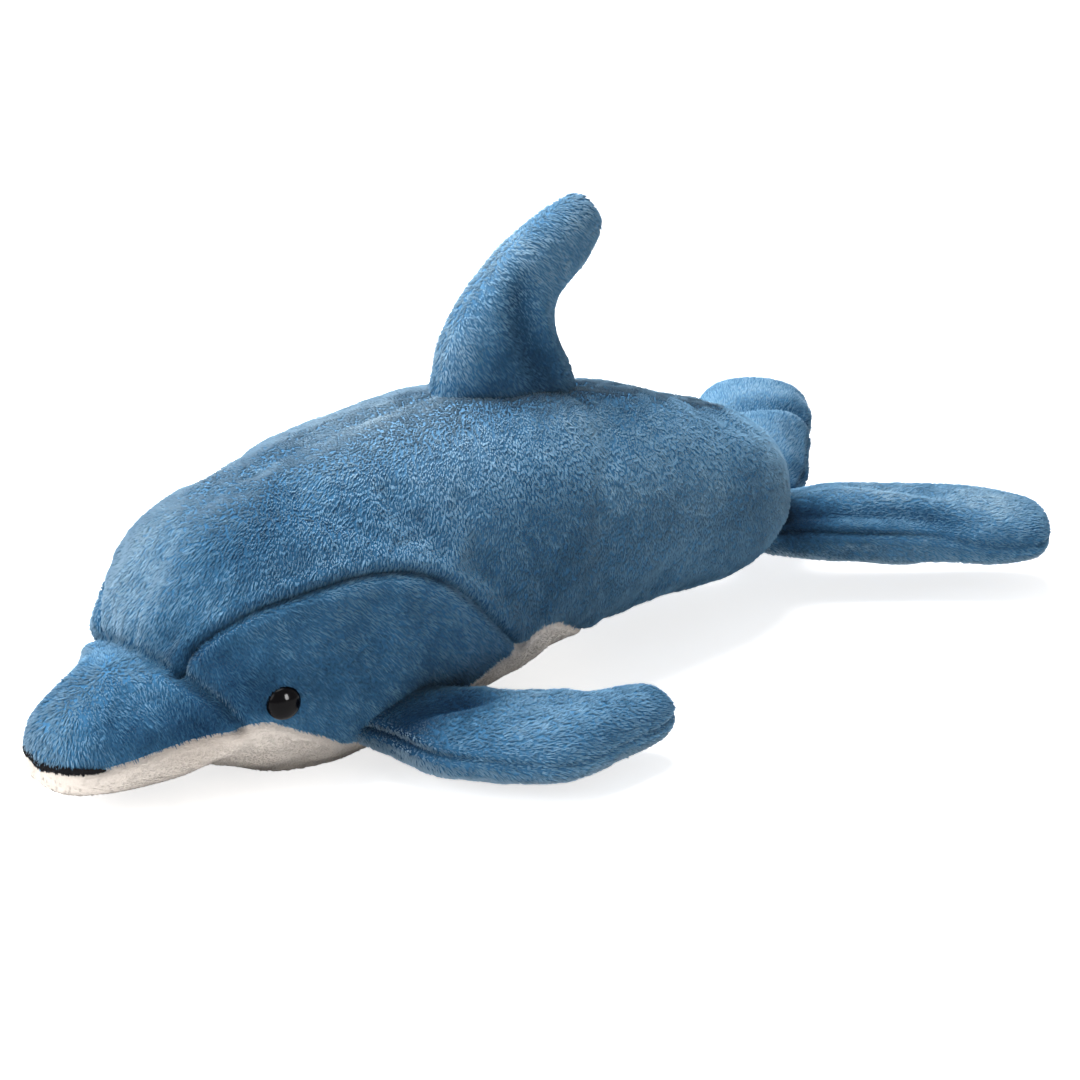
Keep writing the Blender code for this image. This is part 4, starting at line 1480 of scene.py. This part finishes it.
@dataclass
class EmbroideredMouth:
    """The mouth: a satin-stitched band of black thread along the seam below the beak."""

    form: BodyForm
    height: float = 3.2 * MM
    spacing: float = 0.5 * MM
    thread: float = 0.7 * MM
    lift: float = -0.5 * MM
    wander: float = 0.4 * MM
    slant: float = 0.35
    lengths: tuple[float, float] = (0.7, 1.3)
    seed: int = 5

    def tree(self) -> tuple[bpy.types.NodeTree, dict[str, str]]:
        """Builds the nodes that lay one stitch on each marked point.

        Returns:
            The tree, and each input's identifier by its name.
        """
        kinds = {"Thread": "Float", "Seed": "Int", "Material": "Material"}
        graph, names = new_geometry_tree("Satin stitches", kinds)
        given = graph.add("NodeGroupInput").outputs
        across, outward = (graph.attribute(name, "FLOAT_VECTOR") for name in ("across", "outward"))
        stitch = graph.get("Mesh", "GeometryNodeMeshUVSphere", {"Segments": 8, "Rings": 7, "Radius": 0.5})
        inputs = {"Geometry": stitch, "Shade Smooth": True}
        smooth = graph.get("Geometry", "GeometryNodeSetShadeSmooth", inputs)
        kind = "FunctionNodeAxesToRotation"
        turn = graph.get("Rotation", kind, {0: across, 1: outward}, primary_axis="Z", secondary_axis="X")
        vary = graph.random(*self.lengths, given["Seed"])
        length = graph.math("MULTIPLY", graph.attribute("reach"), vary)
        size = graph.triple(given["Thread"], given["Thread"], length)
        inputs = {"Points": given["Geometry"], "Instance": smooth, "Rotation": turn, "Scale": size}
        laid = graph.get("Instances", "GeometryNodeInstanceOnPoints", inputs)
        real = graph.get("Geometry", "GeometryNodeRealizeInstances", {"Geometry": laid})
        inputs = {"Geometry": real, "Material": given["Material"]}
        graph.add("NodeGroupOutput", {"Geometry": graph.get("Geometry", "GeometryNodeSetMaterial", inputs)})
        return graph.tree, names

    def stitches(self) -> bpy.types.Mesh:
        """Marks each stitch's place with its direction across the seam, outwards and its reach."""
        line = self.form.mouth_line()
        seam, outward = self.form.point(*line), self.form.normal(*line)
        way = walked(seam)
        count = int(way[-1] / self.spacing)
        marks = np.linspace(0.0, way[-1], count)
        place = np.stack([np.interp(marks, way, seam[:, k]) for k in range(3)], -1)
        out = unit(np.stack([np.interp(marks, way, outward[:, k]) for k in range(3)], -1))
        along = np.gradient(place, axis=0)
        across = unit(np.cross(out, along))
        # the band narrows at both ends
        centred = np.linspace(-1.0, 1.0, count)
        reach = self.height * np.maximum(1 - centred**4, 0.05) ** 0.5
        wobble = np.array([noise.noise(Vector((k * 0.9, 0.0, float(self.seed)))) for k in range(count)])
        slant = np.array([noise.noise(Vector((k * 0.6, 4.0, float(self.seed)))) for k in range(count)])
        across = unit(across + unit(along) * (self.slant * slant)[:, None])
        place = place + out * self.lift + across * (self.wander * wobble)[:, None]
        mesh = bpy.data.meshes.new("mouth_points")
        mesh.from_pydata([tuple(p) for p in place], [], [])
        for name, values in (("across", across), ("outward", out)):
            layer = mesh.attributes.new(name, "FLOAT_VECTOR", "POINT")
            layer.data.foreach_set("vector", values.astype(np.float32).ravel())
        mesh.attributes.new("reach", "FLOAT", "POINT").data.foreach_set("value", reach.astype(np.float32))
        return mesh

    def build(self, material: bpy.types.Material) -> None:
        """Lays the stitches and puts them in the CAD node's place."""
        holder = shown("mouth_points", self.stitches())
        values = {"Thread": self.thread, "Seed": self.seed, "Material": material}
        laid = dressed(holder, *self.tree(), values)
        bpy.data.objects.remove(holder)
        piece = shown("mouth_satin_stitch", laid)
        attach(piece, BODY)
        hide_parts("mouth_stitching")
        report("mouth_satin_stitch", laid)


@dataclass(frozen=True)
class SoftBox:
    """One large soft lamp, aimed at the origin. One that only gleams lights nothing but reflections."""

    name: str
    place: tuple[float, float, float]
    power: float
    width: float
    height: float
    only_gleams: bool = False


@dataclass(frozen=True)
class Studio:
    """A white sweep with soft lamps, and the camera of the photograph."""

    camera_place: tuple[float, float, float] = (-0.6495, -0.7160, 0.3765)
    camera_target: tuple[float, float, float] = (-0.0112, -0.0170, 0.0540)
    lens: float = 90.0
    sensor: float = 36.0
    ambient: float = 0.28
    reach: float = 3.0
    # how far from the toy the paper turns plain white, and how white it is near and far
    shadow_fade: tuple[float, float] = (0.2, 0.5)
    whiteness: tuple[float, float] = (0.74, 1.0)
    lamps: tuple[SoftBox, ...] = (
        SoftBox("top lamp", (-0.15, 0.35, 1.25), 39.0, 1.1, 1.1),
        SoftBox("left lamp", (-1.1, 0.25, 0.6), 8.0, 0.7, 0.7),
        SoftBox("gleam lamp", (-0.08, -0.99, 0.38), 30.0, 0.28, 0.55, True),
    )

    def build(self) -> None:
        """Sets up the view transform, backdrop, lamps and camera."""
        scene = bpy.context.scene
        scene.view_settings.view_transform = "Standard"
        self.sweep()
        self.world(scene)
        for lamp in self.lamps:
            light = bpy.data.lights.new(lamp.name, "AREA")
            light.energy = lamp.power
            light.shape = "ELLIPSE"
            light.size, light.size_y = lamp.width, lamp.height
            item = self.aimed(lamp.name, light, lamp.place, (0.0, 0.0, 0.0))
            item.visible_diffuse = not lamp.only_gleams
        camera = bpy.data.cameras.new("camera")
        camera.lens = self.lens
        camera.sensor_width = self.sensor
        camera.clip_start = 0.05
        scene.camera = self.aimed("camera", camera, self.camera_place, self.camera_target)

    @staticmethod
    def aimed(name: str, data: bpy.types.ID, place: tuple, target: tuple) -> bpy.types.Object:
        """Puts a lamp or the camera in its place.

        Args:
            name: The object's name.
            data: The lamp or the camera.
            place: Where it stands.
            target: What it looks at.

        Returns:
            The new object.
        """
        item = shown(name, data)
        item.location = place
        item.rotation_mode = "QUATERNION"
        item.rotation_quaternion = (Vector(target) - Vector(place)).to_track_quat("-Z", "Y")
        return item

    @staticmethod
    def seen(graph: Graph) -> bpy.types.NodeSocket:
        """Returns 1 for rays of the camera, of reflections and of transmission, and 0 for the light's."""
        rays = graph.add("ShaderNodeLightPath").outputs
        mirrored = graph.math("MAXIMUM", rays["Is Glossy Ray"], rays["Is Transmission Ray"])
        return graph.math("MAXIMUM", rays["Is Camera Ray"], mirrored)

    def sweep(self) -> None:
        """Lays the pale floor, which the camera sees as white with the toy's soft shadow."""
        mesh = bpy.data.meshes.new("floor")
        corners = [(x * self.reach, y * self.reach, 0.0) for x, y in ((-1, -1), (1, -1), (1, 1), (-1, 1))]
        mesh.from_pydata(corners, [], [(0, 1, 2, 3)])
        floor = shown("floor", mesh)
        material, graph, shader = new_material("matte white paper")
        # the paper is plain white away from the toy, and keeps its soft shadow near it
        place = graph.get("Object", "ShaderNodeTexCoord")
        away = graph.vector("LENGTH", place, output="Value")
        white = graph.ranged(away, self.shadow_fade, self.whiteness, "SMOOTHSTEP")
        glow = graph.math("MULTIPLY", self.seen(graph), white)
        graph.put(shader, {"Base Color": linear("#e8e8e8"), "Roughness": 1.0})
        graph.put(shader, {"Emission Color": (1.0, 1.0, 1.0, 1.0), "Emission Strength": glow})
        mesh.materials.append(material)

    def world(self, scene: bpy.types.Scene) -> None:
        """Gives the surroundings: soft light on the toy and white to the camera."""
        world = bpy.data.worlds.new("studio")
        world.use_nodes = True
        scene.world = world
        graph = Graph(world.node_tree)
        level = graph.ranged(self.seen(graph), (0.0, 1.0), (self.ambient, 1.0))
        inputs = {"Color": (1.0, 1.0, 1.0, 1.0), "Strength": level}
        graph.put(world.node_tree.nodes["Background"], inputs)


def body_grooves(form: BodyForm) -> list[Groove]:
    """Lists the body's seams and folds.

    Args:
        form: The body's form.

    Returns:
        One groove for each seam on each side.
    """
    grooves = []
    # the last number of each groove is how much painted shade its hollow takes
    cheek = np.linspace(BEAK_SEAM, CHEEK_END - 0.3, 500)
    belly = np.linspace(MOUTH_MARKS[0][0], BELLY_END, 700)
    for angles in (form.cheek_seam(cheek), 180 - form.cheek_seam(cheek)):
        grooves.append(Groove(form.point(cheek, angles), 2.8 * MM, 1.6 * MM, 0.5 * MM, 1.0))
    for angles in (form.white_edge(belly), 180 - form.white_edge(belly)):
        grooves.append(Groove(form.point(belly, angles), 0.9 * MM, 1.3 * MM, 0.0, 0.25))
    # the crease between beak and melon is deepest where the cheek seams meet it
    lower = float(form.belly_seam(np.array(float(BEAK_SEAM))))
    round_it = np.linspace(lower, 180 - lower, 400)
    strength = 2.6 * MM * (0.5 + 0.5 * np.abs(np.sin(2 * np.radians(round_it))))
    crease = form.point(np.full(len(round_it), float(BEAK_SEAM)), round_it)
    grooves.append(Groove(crease, strength, 1.9 * MM, 0.2 * MM, 0.8))
    spine = np.linspace(BEAK_SEAM, TAIL_END - 0.4, 600)
    grooves.append(Groove(form.point(spine, np.full(len(spine), 90.0)), 0.3 * MM, 1.5 * MM, 0.0, 0.1))
    keel = np.linspace(BELLY_END, TAIL_END - 0.4, 300)
    grooves.append(Groove(form.point(keel, np.full(len(keel), -90.0)), 0.9 * MM, 1.5 * MM, 0.0, 0.3))
    grooves.append(Groove(form.point(*form.mouth_line(200)), 0.3 * MM, 1.5 * MM, 0.7 * MM, 0.3))
    return grooves


class Fold(NamedTuple):
    """A soft fold pressed into a fin, or with a depth below 0 a soft ridge."""

    marks: tuple[tuple[float, float], ...]
    depth: float
    width: float

    def groove(self, form: FinForm) -> Groove:
        """Lays the fold on a fin.

        Args:
            form: The fin's form; the marks are places on it, each a u and an angle.

        Returns:
            The fold, which fades out at both ends.
        """
        u, angle = through(self.marks, 200)
        fade = np.sin(np.pi * np.linspace(0.08, 0.92, len(u)))
        # the fold's hollow takes painted shade
        return Groove(form.point(u, angle), self.depth * fade, self.width, 0.0, 0.9)


@dataclass(frozen=True)
class FinPattern:
    """What one fin is cut and sewn to."""

    name: str
    form: FinForm
    panels: tuple[str, str]
    nap: tuple[float, float, float]
    painted_light: tuple[PaintedLightPatch, ...]
    folds: tuple[Fold, ...]
    # how far up, in degrees, the front seam is pulled near the root
    seam_lift: float = 0.0
    # how deep the front seam is drawn in, how bare of pile it is and how much painted shade its hollow
    # takes
    seam_depth: float = 1.4 * MM
    seam_bare: float = 0.15 * MM
    seam_painted_shade: float = 0.8

    def grooves(self) -> list[Groove]:
        """Lists the fin's two edge seams and its folds."""
        u = np.linspace(0.0, self.form.last - 0.05, 400)
        rise = self.seam_lift * np.clip(3.2 - u, 0.0, 1.0)
        # drawn in deepest near the root and hardly at the tip
        tip = np.clip(self.form.last - u, 0.15, 1.0)
        strength = self.seam_depth * (0.5 + np.clip(2.6 - u, 0.0, 1.0)) * tip
        back = self.form.point(u, np.full(len(u), 180.0))
        return [
            Groove(self.form.point(u, rise), strength, 1.2 * MM, self.seam_bare, self.seam_painted_shade),
            Groove(back, 0.5 * self.seam_depth * tip, 1.2 * MM, 0.0, 0.6 * self.seam_painted_shade),
            *(fold.groove(self.form) for fold in self.folds),
        ]


def fin_patterns() -> tuple[FinPattern, ...]:
    """Returns the five fins' patterns."""
    flat = ("upper_panel", "lower_panel")
    hollow = ((1.3, 40), (1.5, 66), (1.8, 80), (2.2, 96))
    across = tuple((u, 180 - a) for u, a in hollow)
    mirrored = tuple(r._replace(y=-r.y) for r in PECTORAL_RIBS)
    flipped_light = tuple(
        PaintedLightPatch((x, -y, z), radius, amount) for (x, y, z), radius, amount in PECTORAL_PAINTED_LIGHT
    )
    return (
        FinPattern(
            "dorsal_fin",
            FinForm(DORSAL_RIBS, (0, 1, 0)),
            ("left_panel", "right_panel"),
            (0.5, 0.0, -0.8),
            DORSAL_PAINTED_LIGHT,
            (
                Fold(((1.9, 300), (1.6, 286), (1.3, 272), (0.95, 264), (0.5, 262)), 3.0 * MM, 4.0 * MM),
                Fold(((1.9, 270), (1.6, 258), (1.27, 248), (0.9, 241), (0.5, 237)), -1.5 * MM, 2.4 * MM),
            ),
            seam_depth=0.3 * MM,
            seam_bare=0.0,
            seam_painted_shade=0.15,
        ),
        FinPattern(
            "pectoral_fin_left",
            FinForm(PECTORAL_RIBS, (0, 0, 1)),
            flat,
            (0.8, -0.5, -0.2),
            PECTORAL_PAINTED_LIGHT,
            (Fold(hollow, 3.5 * MM, 4.0 * MM),),
            seam_lift=9.0,
        ),
        FinPattern(
            "pectoral_fin_right",
            FinForm(mirrored, (0, 0, 1)),
            flat,
            (0.8, 0.5, -0.2),
            flipped_light,
            (Fold(across, 3.5 * MM, 4.0 * MM),),
            seam_lift=9.0,
        ),
        FinPattern(
            "fluke_left",
            FinForm(fluke_ribs(-1), (0, 0, 1), True),
            flat,
            (0.8, -0.6, -0.2),
            FLUKE_LEFT_PAINTED_LIGHT,
            (
                Fold(((0.75, 42), (0.95, 44), (1.4, 46), (2.0, 44), (2.7, 32)), 3.0 * MM, 4.0 * MM),
                Fold(((0.9, 78), (1.3, 82), (1.8, 76), (2.3, 60), (2.8, 48)), -1.6 * MM, 4.0 * MM),
            ),
            seam_lift=12.0,
        ),
        FinPattern(
            "fluke_right",
            FinForm(fluke_ribs(1), (0, 0, 1), True),
            flat,
            (0.8, 0.6, -0.2),
            FLUKE_RIGHT_PAINTED_LIGHT,
            (
                Fold(
                    ((2.35, 115), (2.5, 90), (2.65, 65), (2.7, 40), (2.62, 15), (2.6, -25)),
                    2.6 * MM,
                    4.2 * MM,
                ),
            ),
            seam_lift=12.0,
        ),
    )


def eye_seat(form: BodyForm, angle: float, station: float = 7.45) -> tuple[Vector, Vector]:
    """Returns where an eye sits on the cheek and its axis."""
    t, a = np.array([station]), np.array([angle])
    return Vector(form.point(t, a)[0]), Vector(form.normal(t, a)[0])


def main() -> None:
    """Builds the toy piece by piece, then the studio."""
    logging.basicConfig(level=logging.INFO, format="%(name)s: %(message)s")
    blue_shades = {0.0: "#143858", 0.3: "#386688", 0.6: "#6a95b5", 0.85: "#91b3cb", 1.0: "#b0cadb"}
    white_shades = {0.0: "#d0c6bc", 0.4: "#dfd6cd", 1.0: "#e8e1d9"}
    # the backings are painted a little darker than their pile, as shade under the tufts
    blue_ground = KnitBacking("blue knitted plush backing", "#123350", "#3b6b90", "#6b92b0").make()
    white_ground = KnitBacking("white knitted plush backing", "#b4a89e", "#dad1c8", "#e4dcd4").make()
    # the pile's roots are painted to 0.7 and 0.9 of their colour, as shade between the tufts
    fibres = {
        "blue": PileFibre("blue cut polyester pile", blue_shades, 0.7, 0.75, "#bfdcf2").make(),
        "white": PileFibre("white cut polyester pile", white_shades, 0.9, 0.2, "#ffffff").make(),
    }
    bead = BeadPlastic().make()
    thread = EmbroideryThread().make()
    coat = PileCoat()

    body_form = BodyForm()
    seats = {"left": eye_seat(body_form, -1.0), "right": eye_seat(body_form, 181.0)}
    body = StuffedBody(
        "body_plush",
        body_form,
        (
            "beak_panel",
            "belly_panel",
            "cheek_panel_left",
            "cheek_panel_right",
            "back_panel_left",
            "back_panel_right",
            "body_stuffing",
            "eye_washer_left",
            "eye_washer_right",
        ),
        "blue_pile",
        body_grooves(body_form),
        painted_light=BODY_PAINTED_LIGHT,
        eye_places=tuple(np.array(seat) for seat, _ in seats.values()),
    )
    ground = body.ground()
    tree = BVHTree.FromPolygons(
        [v.co.copy() for v in ground.data.vertices], [tuple(p.vertices) for p in ground.data.polygons]
    )
    down = (-0.45, 0.0, -0.85)
    belly_pile = PileRule(
        "pile_belly",
        Panel.BELLY,
        (1.0, 0.0, -0.2),
        "white",
        "white_pile",
        16,
        length=1.1 * MM,
        width=0.7 * MM,
        per_square_mm=0.8,
        upright=0.25,
        clump=0.3,
        relief=0.15,
    )
    for rule in (
        PileRule("pile_beak", Panel.BEAK, (0.35, 0.0, -0.9), "blue", "blue_pile", 11),
        PileRule("pile_cheek_left", Panel.CHEEK_LEFT, (0.6, 0.0, -0.75), "blue", "blue_pile", 12),
        PileRule("pile_cheek_right", Panel.CHEEK_RIGHT, (0.6, 0.0, -0.75), "blue", "blue_pile", 13),
        PileRule("pile_back_left", Panel.BACK_LEFT, down, "blue", "blue_pile", 14),
        PileRule("pile_back_right", Panel.BACK_RIGHT, down, "blue", "blue_pile", 15),
        belly_pile,
    ):
        coat.grow(ground, rule, fibres[rule.fibre])
    body.finish(ground, [blue_ground, white_ground])

    for number, pattern in enumerate(fin_patterns()):
        fin = StuffedFin(
            f"{pattern.name}_plush",
            pattern.form,
            tuple(f"{pattern.name}_{p}" for p in (*pattern.panels, "stuffing")),
            "blue_pile",
            pattern.grooves(),
            pattern.painted_light,
            inset=1.1 * MM,
            seed=3.0 + number,
            body=tree,
        )
        fin_ground = fin.ground()
        for side, panel in enumerate((Panel.FIN_FIRST, Panel.FIN_SECOND)):
            name, seed = f"pile_{pattern.name}_{side + 1}", 20 + 2 * number + side
            rule = PileRule(name, panel, pattern.nap, "blue", "blue_pile", seed)
            coat.grow(fin_ground, rule, fibres[rule.fibre])
        fin.finish(fin_ground, [blue_ground])

    for side, (seat, axis) in seats.items():
        SafetyEye(f"eye_bead_{side}", seat, axis, f"eye_{side}").build(bead)
    EmbroideredMouth(body_form).build(thread)
    Studio().build()


if __name__ == "__main__":
    main()
